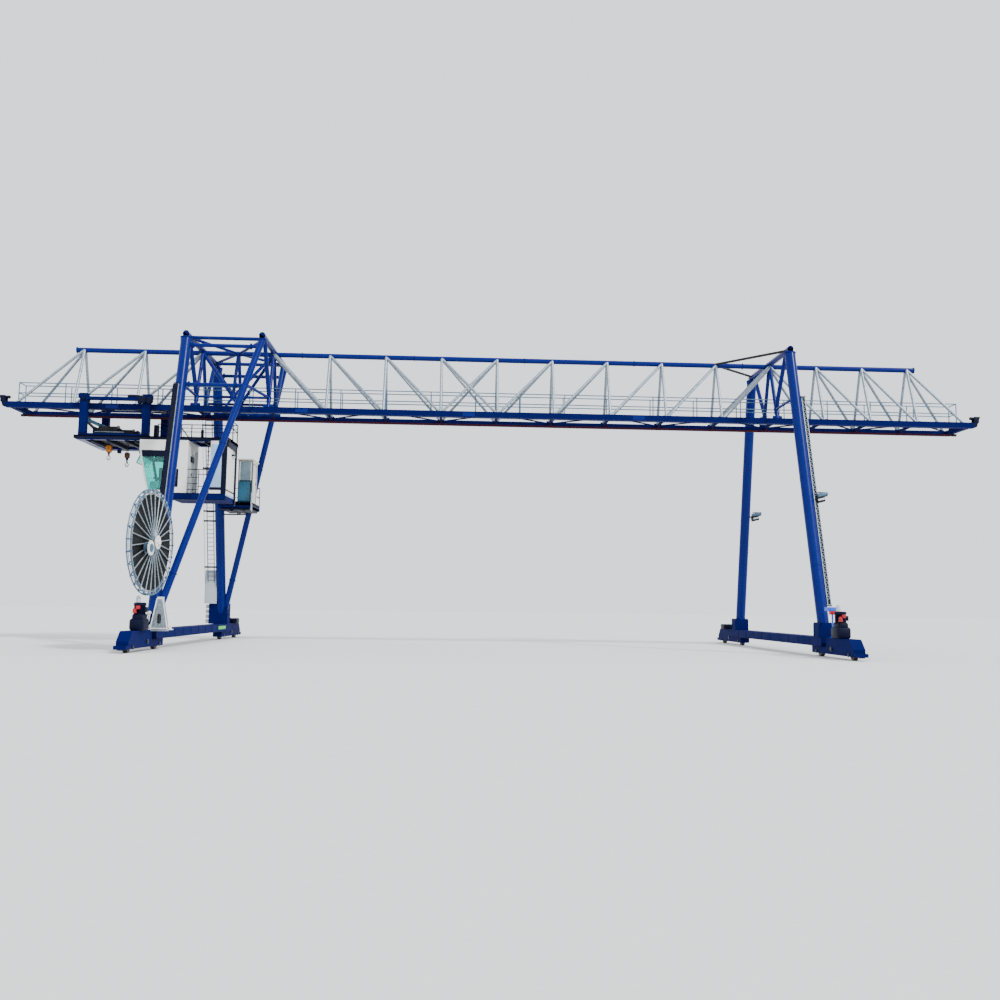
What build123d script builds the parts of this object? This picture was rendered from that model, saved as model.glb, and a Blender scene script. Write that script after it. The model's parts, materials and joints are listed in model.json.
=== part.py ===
from build123d import *
import math
import os

os.makedirs("parts", exist_ok=True)

# A gantry crane with a triangular truss girder, as a 1:2 scale model, in millimetres.
# X runs along the girder, Y across it, Z up. The origin is on the floor at mid-length.

# Girder
panel = 1500
left_panels = 4
right_panels = 5
leg_bay = 1875
left_end_panels = (1595, 1510)
right_end_panel = 1276
right_end_panels = 3
mid_node_x = -90
top_chord_z = 7700
top_chord_width = 134
top_chord_overhang = 215
chord_top_z = 6125
chord_depth = 130
chord_width = 160
chord_spacing = 1220
chord_left_end = -12915
chord_right_end = 12915
end_foot_inset = 370
web_width = 54
thick_web_width = 105
bay_width = 92
bay_node_z = 6418
bay_brace_width = 74
bay_foot_spread = 190
web_gap = 70
web_landing = 58
rail_width = 40
rail_height = 20
rail_from_edge = 38

# Bracing, walkway and railings between the bottom chords
brace_width = 40
cross_depth = 62
cross_width = 56
end_beam_width = 110
end_beam_inset = 60
deck_thickness = 18
walkway_width = 420
walkway_left_end = -12645
walkway_right_end = 12525
railing_height = 607
railing_mid_height = 322
railing_width = 22
railing_pitch = 1180
conductor_width = 26
conductor_depth = 50
conductor_y = 330
conductor_top_z = 5990
conductor_inset = 140
hanger_width = 20

# Stops with buffers at the girder's ends
buffer_length = 170
stop_height = 175
stop_thickness = 70
buffer_radius = 38
buffer_reach = 215

# Floor, sills, bogies and wheels
sill_top_z = 450
sill_depth = 210
sill_width = 380
sill_half_length = 3660
foot_half_spread = 3387
bogie_width = 260
bogie_height = 160
bogie_outer = 5330
bogie_inner = 2900
bogie_slot = 100
wheel_radius = 115
wheel_end_margin = 275
wheel_sides = 24
sweep_length = 150
drive_width = 316
drive_length = 420
drive_inset = 72
drive_top_z = 1045
far_drive_top_z = 600
drive_y = 4520

# Left support: two legs with a brace each, under a rectangular top frame
left_leg_x = -7980
left_foot_x = -7953
leg_width = 268
leg_top_z = 7690
brace_leg_width = 165
support_half_spread = 1615
frame_beam_width = 150
frame_beam_z = 7770
frame_beam_half_length = 1690
frame_strut_width = 95
frame_strut_z = 7750
low_strut_z = 7475
frame_brace_width = 80
frame_corner_y = 1360
hanger_bar_width = 92
tie_width = 90
strut_rise = 30
foot_block_length = 420
foot_block_height = 330
far_block_height = 590
far_block_reach = 340

# Right support: two legs and two stays to the girder
right_leg_x = 7411
right_foot_x = 7490
stay_width = 66
stay_start_y = 1500
stay_end_y = 54

# Cable reel on the near left leg
reel_x = -7790
reel_y = -4300
reel_z = 2355
reel_turn = -5.5
reel_radius = 1160
reel_rim = 34
reel_rim_thickness = 22
reel_width = 104
reel_spokes = 26
reel_spoke_width = 24
reel_hub_radius = 130
reel_hub_width = 190
reel_cable_outer = 1050
reel_cable_width = 44
reel_arm_width = 120
reel_arm_gap = 40
reel_shaft_radius = 45
reel_shaft_end = 60
running_gap = 0.3

# Cable guide beside the near left foot
guide_left_x = -7832
guide_right_x = -7463
guide_near_y = -3905
guide_depth = 150
guide_top_z = 1140
guide_top_width = 110
guide_plate = 20
guide_bracket = 30
guide_hole_width = 90
guide_hole_height = 230
guide_hole_z = 690

# Ladder and landing beside the far left leg
ladder_width = 185
ladder_from_leg = 160
ladder_top_z = 6700
ladder_stile = 24
ladder_rung = 14
ladder_pitch = 125
ladder_bracket_every = 9
landing_z = 3825
landing_left_x = -7700
landing_right_x = -6825
landing_near_y = 1250
landing_far_y = 2600
landing_beam = 110
landing_plate = 24
booth_left_x = -7200
booth_right_x = -6830
booth_near_y = 1380
booth_depth = 700
booth_height = 1200
booth_wall = 24
booth_frame = 46
booth_roof = 26
booth_roof_overhang = 40

# Trolley
trolley_left_post_x = -10710
trolley_wheelbase = 1583
post_width = 190
post_depth = 130
post_top_z = 6350
side_gap = 70
top_rail_depth = 78
top_rail_z = 6200
side_rail_depth = 75
deck_top_z = 5250
trolley_deck_thickness = 24
deck_left_x = -10845
deck_right_x = -6950
deck_half_width = 1040
deck_far_right_x = -8955
deck_far_y = 60
frame_depth = 66
frame_width = 100
trolley_wheel_radius = 80
trolley_wheel_width = 36
trolley_axle_radius = 22
wheel_box_height = 110
wheel_box_overhang = 45

# Winches and hooks
main_hook_x = -10305
aux_hook_x = -9825
main_drum_x = (-10640, -10150)
main_drum_z = 5540
main_drum_radius = 160
aux_drum_x = (-10080, -9730)
aux_drum_z = 5500
aux_drum_radius = 105
drum_flange = 20
bearing_width = 70
winch_motor_x = (-9660, -9440)
winch_motor_radius = 75
rope_width = 16
rope_half_gap = 50
rope_slot_margin = 18
main_block_top_z = 5142
main_block_width = 180
main_block_height = 180
main_block_thickness = 130
aux_block_top_z = 4967
aux_block_width = 160
aux_block_height = 150
aux_block_thickness = 110
hook_thickness = 26
main_hook_radius = 32
main_hook_drop = 146
aux_hook_radius = 31
aux_hook_drop = 176

# Operator's cab, landing platform and electrical house under the trolley
cab_left_x = -9180
cab_right_x = -7965
cab_near_y = -1040
cab_far_y = -20
cab_wall = 28
cab_lean = 225
cab_band_height = 270
cab_sill_height = 70
cab_mullion = 42
cab_window_right_x = -8520
cab_door_width = 330
cab_door_height = 1020
glass_thickness = 8
floor_z = 3810
floor_depth = 165
floor_left_x = -8340
floor_right_x = -6990
house_left_x = -7400


def bar(start, end, width, sides=8, mode=Mode.ADD):
    """A straight bar with a few flat sides, from one point to another."""
    run = Vector(*end) - Vector(*start)
    with BuildSketch(Plane(origin=start, z_dir=run)) as section:
        RegularPolygon(width / 2, sides)
    return extrude(section.sketch, amount=run.length, mode=mode)


def disc(centre, axis, radius, length, sides, mode=Mode.ADD):
    """A round piece with flat sides, centred on a point and level at its lowest side."""
    axis = Vector(*axis).normalized()
    start = Vector(*centre) - axis * (length / 2)
    level = Vector(0, 0, 1).cross(axis)
    with BuildSketch(Plane(origin=start, x_dir=level, z_dir=axis)) as section:
        RegularPolygon(radius, sides, major_radius=False, rotation=90 - 180 / sides)
    return extrude(section.sketch, amount=length, mode=mode)


def block(x_span, y_span, z_span, mode=Mode.ADD):
    """A rectangular block between two places on each axis."""
    spans = (x_span, y_span, z_span)
    with Locations(tuple(sum(span) / 2 for span in spans)):
        return Box(*[abs(span[1] - span[0]) for span in spans], mode=mode)


def finish(part, name):
    """Labels a finished piece and writes it."""
    part.part.label = name
    export_step(part.part, f"parts/{name}.step")


# Places along the girder, worked out from its panels
first_node_x = mid_node_x - left_panels * panel
last_node_x = mid_node_x + right_panels * panel
leg_node_x = first_node_x - leg_bay
node_xs = [leg_node_x, first_node_x] + [first_node_x + panel * n for n in range(1, left_panels + right_panels + 1)]
for length in left_end_panels:
    node_xs.insert(0, node_xs[0] - length)
for n in range(right_end_panels):
    node_xs.append(node_xs[-1] + right_end_panel)
chord_bottom_z = chord_top_z - chord_depth
chord_inner = chord_spacing / 2 - chord_width / 2
chord_outer = chord_spacing / 2 + chord_width / 2
rail_y = chord_outer - rail_from_edge
walkway_z = chord_top_z + deck_thickness

# Top chord, one tube over the whole truss
top_chord_span = (node_xs[0] - top_chord_overhang, node_xs[-1] + top_chord_overhang)
with BuildPart() as top_chord:
    bar((top_chord_span[0], 0, top_chord_z), (top_chord_span[1], 0, top_chord_z), top_chord_width, 16)
finish(top_chord, "top_chord")

# Bottom chords, box sections with the trolley's rail on the outer edge of the top plate
bottom_chords = {}
for side, sign in (("near", -1), ("far", 1)):
    with BuildPart() as chord:
        block(
            (chord_left_end + buffer_length, chord_right_end - buffer_length),
            (sign * chord_inner, sign * chord_outer),
            (chord_bottom_z, chord_top_z),
        )
        block(
            (chord_left_end + buffer_length, chord_right_end - buffer_length),
            (sign * (rail_y - rail_width / 2), sign * (rail_y + rail_width / 2)),
            (chord_top_z, chord_top_z + rail_height),
        )
    bottom_chords[side] = chord
    finish(chord, f"bottom_chord_{side}")


def web_points(x, sign):
    """The upper and lower ends of a web member at one node."""
    top = (x, sign * web_gap / 2, top_chord_z)
    foot = (x, sign * (chord_inner + web_landing), chord_top_z - chord_depth / 4)
    return top, foot


def web_at(x, sign, z):
    """The place of a web post at one height."""
    top, foot = web_points(x, sign)
    share = (top[2] - z) / (top[2] - foot[2])
    return (x, top[1] + share * (foot[1] - top[1]), z)


# The thick members in the bay over the left support, and the posts over the right one
mid_bay_x = (leg_node_x + first_node_x) / 2
with BuildPart() as leg_bay_web:
    for sign in (-1, 1):
        low_mid = web_at(mid_bay_x, sign, bay_node_z)
        for x in (leg_node_x, first_node_x, last_node_x):
            bar(*web_points(x, sign), bay_width)
        bar(web_points(mid_bay_x, sign)[0], low_mid, bay_width, 6)
        for x in (leg_node_x, first_node_x):
            bar(web_points(x, sign)[0], low_mid, bay_width, 6)
            bar(web_at(x, sign, bay_node_z), low_mid, bay_brace_width, 6)
        for step in (-1, 1):
            foot = web_points(mid_bay_x + step * bay_foot_spread, sign)[1]
            bar(low_mid, foot, bay_brace_width, 6)
    add(top_chord.part, mode=Mode.SUBTRACT)
    for chord in bottom_chords.values():
        add(chord.part, mode=Mode.SUBTRACT)
finish(leg_bay_web, "leg_bay_web")

# The sloping lattice sides: posts at the nodes, and diagonals that fall towards mid-length
webs = {}
for side, sign in (("near", -1), ("far", 1)):
    with BuildPart() as web:
        for number, x in enumerate(node_xs):
            top, foot = web_points(x, sign)
            if x not in (leg_node_x, first_node_x, last_node_x):
                bar(top, foot, web_width, 6)
            steps = []
            if leg_node_x < x < mid_node_x or x >= last_node_x:
                steps.append(1)
            if x <= leg_node_x or mid_node_x < x <= last_node_x:
                steps.append(-1)
            for step in steps:
                inner_end = (x, step) in ((first_node_x, 1), (last_node_x, -1))
                width = thick_web_width if inner_end else web_width
                if 0 <= number + step < len(node_xs):
                    bar(top, web_points(node_xs[number + step], sign)[1], width, 6)
                else:
                    end_x = (chord_left_end if step < 0 else chord_right_end) - step * end_foot_inset
                    bar(top, web_points(end_x, sign)[1], width, 6)
        add(top_chord.part, mode=Mode.SUBTRACT)
        add(bottom_chords[side].part, mode=Mode.SUBTRACT)
        add(leg_bay_web.part, mode=Mode.SUBTRACT)
    webs[side] = web
    finish(web, f"girder_web_{side}")

# Bracing between the bottom chords, in one plane under the walkway, and a beam across each end
end_beam_out = buffer_length + end_beam_inset + end_beam_width / 2
brace_xs = [chord_left_end + end_beam_out, *node_xs, chord_right_end - end_beam_out]
with BuildPart() as bottom_bracing:
    brace_z = chord_top_z - cross_depth / 2
    for x in node_xs:
        block(
            (x - cross_width / 2, x + cross_width / 2),
            (-chord_inner, chord_inner),
            (chord_top_z - cross_depth, chord_top_z),
        )
    for x in (brace_xs[0], brace_xs[-1]):
        block(
            (x - end_beam_width / 2, x + end_beam_width / 2),
            (-chord_inner, chord_inner),
            (chord_bottom_z, chord_top_z),
        )
    for number in range(len(brace_xs) - 1):
        sign = 1 if number % 2 else -1
        start = (brace_xs[number], sign * (chord_inner + brace_width), brace_z)
        end = (brace_xs[number + 1], -sign * (chord_inner + brace_width), brace_z)
        bar(start, end, brace_width, 6)
    for member in (*bottom_chords.values(), *webs.values(), leg_bay_web):
        add(member.part, mode=Mode.SUBTRACT)
finish(bottom_bracing, "bottom_bracing")

# Walkway on the bracing, with a railing along each edge and across its ends
walkway_span = (walkway_left_end, walkway_right_end)
with BuildPart() as walkway_deck:
    block(walkway_span, (-walkway_width / 2, walkway_width / 2), (chord_top_z, walkway_z))
finish(walkway_deck, "walkway_deck")

railing_y = walkway_width / 2 - railing_width / 2
railing_zs = (walkway_z + railing_mid_height, walkway_z + railing_height - railing_width / 2)
railing_run = walkway_right_end - walkway_left_end - railing_width
railing_posts = round(railing_run / railing_pitch)
for side, sign in (("near", -1), ("far", 1)):
    with BuildPart() as railing:
        for number in range(railing_posts + 1):
            x = walkway_left_end + railing_width / 2 + number * railing_run / railing_posts
            foot = (x, sign * railing_y, walkway_z)
            bar(foot, (x, sign * railing_y, walkway_z + railing_height), railing_width, 4)
        for z in railing_zs:
            bar((walkway_left_end, sign * railing_y, z), (walkway_right_end, sign * railing_y, z), railing_width, 4)
            if sign < 0:
                for x in (walkway_left_end + railing_width / 2, walkway_right_end - railing_width / 2):
                    bar((x, -railing_y, z), (x, railing_y - railing_width / 2, z), railing_width, 4)
    finish(railing, f"walkway_railing_{side}")

# Conductor rail beside the far chord, on hangers from the bracing
with BuildPart() as conductor_rail:
    conductor_span = (conductor_y - conductor_width / 2, conductor_y + conductor_width / 2)
    block(
        (chord_left_end + conductor_inset, chord_right_end - conductor_inset),
        conductor_span,
        (conductor_top_z - conductor_depth, conductor_top_z),
    )
    for x in node_xs:
        block((x - hanger_width, x + hanger_width), conductor_span, (conductor_top_z, chord_top_z - cross_depth))
finish(conductor_rail, "conductor_rail")

# Stops that lean out over the ends of both chords, each with a buffer that faces the trolley
with BuildPart() as end_buffers:
    stop_top_z = chord_top_z + stop_height
    for sign in (-1, 1):
        y_span = (sign * chord_inner, sign * chord_outer)
        for end_x, step in ((chord_left_end, 1), (chord_right_end, -1)):
            base_x = end_x + step * buffer_length
            with BuildSketch(Plane.XZ.offset(-max(y_span))) as stop:
                with BuildLine():
                    Polyline(
                        (base_x, chord_bottom_z),
                        (base_x - step * stop_thickness, chord_bottom_z + chord_depth / 6),
                        (end_x, stop_top_z),
                        (end_x + step * stop_thickness, stop_top_z),
                        (base_x, chord_top_z),
                        close=True,
                    )
                make_face()
            extrude(stop.sketch, amount=chord_width)
            buffer_x = end_x + step * (stop_thickness / 2 + buffer_reach / 2)
            centre = (buffer_x, sign * chord_spacing / 2, stop_top_z - buffer_radius - running_gap)
            disc(centre, (1, 0, 0), buffer_radius, buffer_reach, 12)
finish(end_buffers, "end_buffers")

# Sills along the track, with bogies at both ends
wheel_centres = []
for side, foot_x in (("left", left_foot_x), ("right", right_foot_x)):
    with BuildPart() as sill:
        block(
            (foot_x - sill_width / 2, foot_x + sill_width / 2),
            (-sill_half_length, sill_half_length),
            (sill_top_z - sill_depth, sill_top_z),
        )
        chamfer(sill.edges().filter_by(Axis.X).group_by(Axis.Z)[0], sill_depth / 3)
    finish(sill, f"{side}_sill")

    with BuildPart() as bogies:
        for sign in (-1, 1):
            frame_low = sill_top_z - sill_depth - bogie_height
            with BuildSketch(Plane.YZ.offset(foot_x - bogie_width / 2)):
                with BuildLine():
                    Polyline(
                        (sign * bogie_inner, frame_low),
                        (sign * bogie_outer, frame_low),
                        (sign * bogie_outer, sill_top_z - sill_depth),
                        (sign * (bogie_outer - sill_depth), sill_top_z),
                        (sign * (sill_half_length + bogie_slot), sill_top_z),
                        (sign * (sill_half_length + bogie_slot), sill_top_z - sill_depth),
                        (sign * bogie_inner, sill_top_z - sill_depth),
                        (sign * bogie_inner, frame_low),
                    )
                make_face()
            extrude(amount=bogie_width)
            for wheel_y in (bogie_inner + wheel_end_margin, bogie_outer - wheel_end_margin):
                wheel_centres.append((foot_x, sign * wheel_y, wheel_radius))
                block(
                    (foot_x - bogie_slot / 2, foot_x + bogie_slot / 2),
                    (sign * wheel_y - wheel_radius - bogie_slot / 4, sign * wheel_y + wheel_radius + bogie_slot / 4),
                    (frame_low, 2 * wheel_radius + running_gap),
                    mode=Mode.SUBTRACT,
                )
            sweep_y = sign * (bogie_outer + sweep_length / 2)
            block(
                (foot_x - bogie_width / 2, foot_x + bogie_width / 2),
                (sweep_y - sweep_length / 2, sweep_y + sweep_length / 2),
                (frame_low, frame_low + bogie_height / 2),
            )
    finish(bogies, f"{side}_bogies")

with BuildPart() as travel_wheels:
    for centre in wheel_centres:
        disc(centre, (1, 0, 0), wheel_radius, bogie_slot, wheel_sides)
finish(travel_wheels, "travel_wheels")

# Drive units on the bogies, taller on the near side
with BuildPart() as drive_units:
    for foot_x, inward in ((left_foot_x, 1), (right_foot_x, -1)):
        mid_x = foot_x + inward * drive_inset
        for sign, top_z in ((-1, drive_top_z), (1, far_drive_top_z)):
            block(
                (mid_x - drive_width / 2, mid_x + drive_width / 2),
                (sign * (drive_y - drive_length / 2), sign * (drive_y + drive_length / 2)),
                (sill_top_z, top_z),
            )
finish(drive_units, "drive_units")


def leg_line(top_x, foot_x, sign):
    """The two ends of a leg's centre line, from its sill to the top frame."""
    top = (top_x, sign * support_half_spread, leg_top_z)
    foot = (foot_x, sign * foot_half_spread, sill_top_z)
    return foot, top


def along_leg(line, z):
    """The place on a leg's centre line at one height."""
    foot, top = line
    share = (z - foot[2]) / (top[2] - foot[2])
    return tuple(low + share * (high - low) for low, high in zip(foot, top))


def long_bar(start, end, width, sides, low_z, high_z):
    """A bar carried past both ends and trimmed level at two heights."""
    run = Vector(*end) - Vector(*start)
    reach = run.normalized() * width
    bar(tuple(Vector(*start) - reach), tuple(Vector(*end) + reach), width, sides)
    far = 100 * width
    block((-far, far), (-far, far), (low_z - 10 * width, low_z), mode=Mode.SUBTRACT)
    block((-far, far), (-far, far), (high_z, high_z + 10 * width), mode=Mode.SUBTRACT)


legs = {}
leg_lines = {}
for side, top_x, foot_x in (("left", left_leg_x, left_foot_x), ("right", right_leg_x, right_foot_x)):
    for place, sign in (("near", -1), ("far", 1)):
        leg_lines[side, place] = leg_line(top_x, foot_x, sign)
        with BuildPart() as leg:
            long_bar(*leg_lines[side, place], leg_width, 24, sill_top_z, leg_top_z)
        legs[side, place] = leg
        finish(leg, f"{side}_leg_{place}")

# Braces of the left support, from the feet to the second cross beam
for place, sign in (("near", -1), ("far", 1)):
    leg_lines["brace", place] = leg_line(first_node_x, left_foot_x, sign)
    with BuildPart() as brace:
        long_bar(*leg_lines["brace", place], brace_leg_width, 16, sill_top_z, leg_top_z)
        add(legs["left", place].part, mode=Mode.SUBTRACT)
        keep = brace.solids().sort_by(Axis.Z)[-1]
    with BuildPart() as left_brace:
        add(keep)
    legs["brace", place] = left_brace
    finish(left_brace, f"left_brace_{place}")

# Cross beams, tubes on saddles over the legs' tops, with the top chord passing through underneath
cross_beams = {}
supports = (
    ("left", left_leg_x, leg_node_x),
    ("brace", first_node_x, first_node_x),
    ("right", right_leg_x, last_node_x),
)
for side, x, node_x in supports:
    half = frame_beam_width / 2
    with BuildPart() as cross_beam:
        ends = [(x, sign * frame_beam_half_length, frame_beam_z) for sign in (-1, 1)]
        bar(*ends, frame_beam_width, 16)
        for sign in (-1, 1):
            y = sign * support_half_spread
            block((x - half, x + half), (y - half, y + half), (leg_top_z, frame_beam_z))
        for member in (top_chord, *webs.values(), leg_bay_web):
            add(member.part, mode=Mode.SUBTRACT)
    cross_beams[side] = cross_beam
    finish(cross_beam, f"{side}_cross_beam")

# Struts between the two left cross beams, and two ties lower down between each leg and its brace
left_uprights = [legs[side, place] for side in ("left", "brace") for place in ("near", "far")]
with BuildPart() as left_frame_struts:
    for place, sign in (("near", -1), ("far", 1)):
        ends = [(x, sign * frame_corner_y, frame_strut_z) for x in (left_leg_x, first_node_x)]
        bar(*ends, frame_strut_width)
        for z, width in ((low_strut_z, frame_strut_width), (bay_node_z, tie_width)):
            bar(along_leg(leg_lines["left", place], z), along_leg(leg_lines["brace", place], z), width)
    for member in (*left_uprights, *cross_beams.values()):
        add(member.part, mode=Mode.SUBTRACT)
finish(left_frame_struts, "left_frame_struts")

# Braces in plan, from the corners of the left top frame to the top chord
with BuildPart() as left_frame_brace:
    for sign in (-1, 1):
        for x in (left_leg_x, first_node_x):
            start = (x, sign * frame_corner_y, frame_strut_z)
            bar(start, (mid_bay_x, 0, top_chord_z), frame_brace_width, 6)
    for member in (*left_uprights, *cross_beams.values(), left_frame_struts, top_chord, leg_bay_web, *webs.values()):
        add(member.part, mode=Mode.SUBTRACT)
finish(left_frame_brace, "left_frame_brace")

# Hangers from the cross beams to the girder's posts, and struts from there out to the legs
with BuildPart() as support_hangers:
    for side, x, node_x in supports:
        for place, sign in (("near", -1), ("far", 1)):
            low = web_at(node_x, sign, bay_node_z)
            bar((x, sign * frame_corner_y, frame_beam_z), low, hanger_bar_width, 6)
            bar(low, along_leg(leg_lines[side, place], bay_node_z + strut_rise), bay_brace_width, 6)
    for member in (*legs.values(), *cross_beams.values(), leg_bay_web, *webs.values(), left_frame_struts, left_frame_brace):
        add(member.part, mode=Mode.SUBTRACT)
finish(support_hangers, "support_hangers")

# Feet, blocks around the legs' ends, with a taller one at the far left
with BuildPart() as foot_blocks:
    for side, foot_x in (("left", left_foot_x), ("right", right_foot_x)):
        for sign in (-1, 1):
            tall = side == "left" and sign > 0
            left_x = foot_x - (far_block_reach if tall else sill_width / 2)
            top_z = sill_top_z + (far_block_height if tall else foot_block_height)
            block(
                (left_x, foot_x + sill_width / 2),
                (sign * foot_half_spread - foot_block_length / 2, sign * foot_half_spread + foot_block_length / 2),
                (sill_top_z, top_z),
            )
    for leg in legs.values():
        add(leg.part, mode=Mode.SUBTRACT)
finish(foot_blocks, "foot_blocks")

# Stays from the right leg tops to the girder's next node
with BuildPart() as right_stays:
    for sign in (-1, 1):
        start = (right_leg_x, sign * stay_start_y, frame_beam_z)
        bar(start, (last_node_x - panel, sign * stay_end_y, top_chord_z + stay_end_y / 2), stay_width, 6)
    for member in (legs["right", "near"], legs["right", "far"], cross_beams["right"], top_chord, *webs.values()):
        add(member.part, mode=Mode.SUBTRACT)
finish(right_stays, "right_stays")

# Cable reel: two spoked rims on a hub, and the wound cable between them, turned a little about Z
reel_axis = Vector(math.cos(math.radians(reel_turn)), math.sin(math.radians(reel_turn)), 0)
reel_across = Vector(-reel_axis.Y, reel_axis.X, 0)
reel_centre = Vector(reel_x, reel_y, reel_z)
rim_offset = (reel_width - reel_rim_thickness) / 2


def reel_place(out, angle, along):
    """A place on the reel, from its radius, its angle and its distance along the shaft."""
    height = Vector(0, 0, out * math.sin(angle))
    return tuple(reel_centre + reel_axis * along + reel_across * (out * math.cos(angle)) + height)


with BuildPart() as reel_wheel:
    for along in (-rim_offset, rim_offset):
        disc(reel_place(0, 0, along), tuple(reel_axis), reel_radius, reel_rim_thickness, 44)
    disc(tuple(reel_centre), tuple(reel_axis), reel_radius - reel_rim, 2 * reel_width, 44, mode=Mode.SUBTRACT)
    for step in (-1, 1):
        for number in range(reel_spokes):
            angle = 2 * math.pi / reel_spokes * (number + (0.5 if step > 0 else 0))
            inner = reel_place(reel_hub_radius - reel_spoke_width, angle, step * (reel_hub_width / 2 - reel_spoke_width))
            outer = reel_place(reel_radius - reel_rim / 2, angle, step * rim_offset)
            bar(inner, outer, reel_spoke_width, 4)
    for number in range(reel_spokes // 2):
        angle = 4 * math.pi / reel_spokes * number
        ends = [reel_place(reel_radius - reel_rim / 2, angle, along) for along in (-rim_offset, rim_offset)]
        bar(*ends, reel_spoke_width, 4)
    disc(tuple(reel_centre), tuple(reel_axis), reel_hub_radius, reel_hub_width, 20)
    with Locations(Plane(origin=reel_centre, z_dir=reel_axis).location):
        Cylinder(reel_shaft_radius + running_gap, reel_hub_width, mode=Mode.SUBTRACT)
finish(reel_wheel, "reel_wheel")

with BuildPart() as reel_cable:
    disc(tuple(reel_centre), tuple(reel_axis), reel_cable_outer, reel_cable_width, 40)
    add(reel_wheel.part, mode=Mode.SUBTRACT)
    disc(tuple(reel_centre), tuple(reel_axis), reel_hub_radius, reel_hub_width, 20, mode=Mode.SUBTRACT)
finish(reel_cable, "reel_cable")

# Arm from the near left leg to the reel's shaft
with BuildPart() as reel_arm:
    arm_along = -(reel_hub_width / 2 + reel_arm_gap + reel_arm_width / 2)
    leg_place = Vector(*along_leg(leg_lines["left", "near"], reel_z))
    arm_reach = (leg_place - reel_centre).dot(reel_across)
    arm_mid = reel_place((arm_reach - reel_arm_width) / 2, 0, arm_along)
    with Locations(Plane(origin=arm_mid, x_dir=reel_across, z_dir=(0, 0, 1)).location):
        Box(arm_reach + reel_arm_width, reel_arm_width, 2 * reel_arm_width)
    shaft_plane = Plane(origin=reel_place(0, 0, arm_along), z_dir=reel_axis)
    shaft_length = reel_hub_width + 2 * reel_arm_gap + reel_arm_width / 2 + reel_shaft_end
    with Locations(shaft_plane.location):
        Cylinder(reel_shaft_radius, shaft_length, align=(Align.CENTER, Align.CENTER, Align.MIN))
    add(legs["left", "near"].part, mode=Mode.SUBTRACT)
finish(reel_arm, "reel_arm")

# Guide that leads the cable to the ground, on a bracket beside the near left foot
with BuildPart() as cable_guide:
    guide_y = (guide_near_y, guide_near_y + guide_depth)
    guide_mid_x = (guide_left_x + guide_right_x) / 2
    base_z = sill_top_z + guide_plate
    block((left_foot_x - bogie_width / 2, guide_right_x), guide_y, (sill_top_z, base_z))
    block((left_foot_x + bogie_width / 2, guide_right_x), guide_y, (sill_top_z - guide_bracket, sill_top_z))
    for inset, mode in ((0, Mode.ADD), (guide_plate, Mode.SUBTRACT)):
        with BuildSketch(Plane.XZ.offset(-guide_y[1] + inset)) as frame:
            with BuildLine():
                Polyline(
                    (guide_left_x + 1.3 * inset, base_z),
                    (guide_right_x - 1.3 * inset, base_z),
                    (guide_mid_x + guide_top_width / 2 - inset, guide_top_z - inset),
                    (guide_mid_x - guide_top_width / 2 + inset, guide_top_z - inset),
                    close=True,
                )
            make_face()
        extrude(frame.sketch, amount=guide_depth - 2 * inset, mode=mode)
    with BuildSketch(Plane.XZ.offset(-guide_y[1])) as hole:
        with Locations((guide_mid_x, guide_hole_z)):
            RectangleRounded(guide_hole_width, guide_hole_height, guide_hole_width * 0.45)
    extrude(hole.sketch, amount=guide_depth, mode=Mode.SUBTRACT)
finish(cable_guide, "cable_guide")

# Landing on the far left leg and its brace, with a small booth on it
with BuildPart() as landing:
    beam_top_z = landing_z - landing_plate
    block((landing_left_x, landing_right_x), (landing_near_y, landing_far_y), (beam_top_z, landing_z))
    for left_x, y in ((landing_left_x, landing_near_y), (left_leg_x, landing_far_y - landing_beam)):
        block((left_x, landing_right_x), (y, y + landing_beam), (beam_top_z - landing_beam, beam_top_z))
    for leg in left_uprights:
        add(leg.part, mode=Mode.SUBTRACT)
finish(landing, "landing")

with BuildPart() as landing_booth:
    booth_far_y = booth_near_y + booth_depth
    booth_top_z = landing_z + booth_height
    booth_inside_x = (booth_left_x + booth_wall, booth_right_x - booth_wall)
    booth_inside_y = (booth_near_y + booth_wall, booth_far_y - booth_wall)
    booth_inside_z = (landing_z + booth_wall, booth_top_z - booth_wall)
    block((booth_left_x, booth_right_x), (booth_near_y, booth_far_y), (landing_z, booth_top_z))
    block(
        (booth_left_x - booth_roof_overhang, booth_right_x + booth_roof_overhang),
        (booth_near_y - booth_roof_overhang, booth_far_y + booth_roof_overhang),
        (booth_top_z, booth_top_z + booth_roof),
    )
    block(booth_inside_x, booth_inside_y, booth_inside_z, mode=Mode.SUBTRACT)
    booth_window_z = (landing_z + booth_height / 2, booth_top_z - booth_frame)
    booth_window_x = (booth_left_x + booth_frame, booth_right_x - booth_frame)
    block(booth_window_x, (booth_near_y, booth_near_y + booth_wall), booth_window_z, mode=Mode.SUBTRACT)
finish(landing_booth, "landing_booth")

with BuildPart() as booth_glass:
    glass_y = booth_near_y + booth_wall / 2
    block(booth_window_x, (glass_y - glass_thickness / 2, glass_y + glass_thickness / 2), booth_window_z)
finish(booth_glass, "booth_glass")

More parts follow.
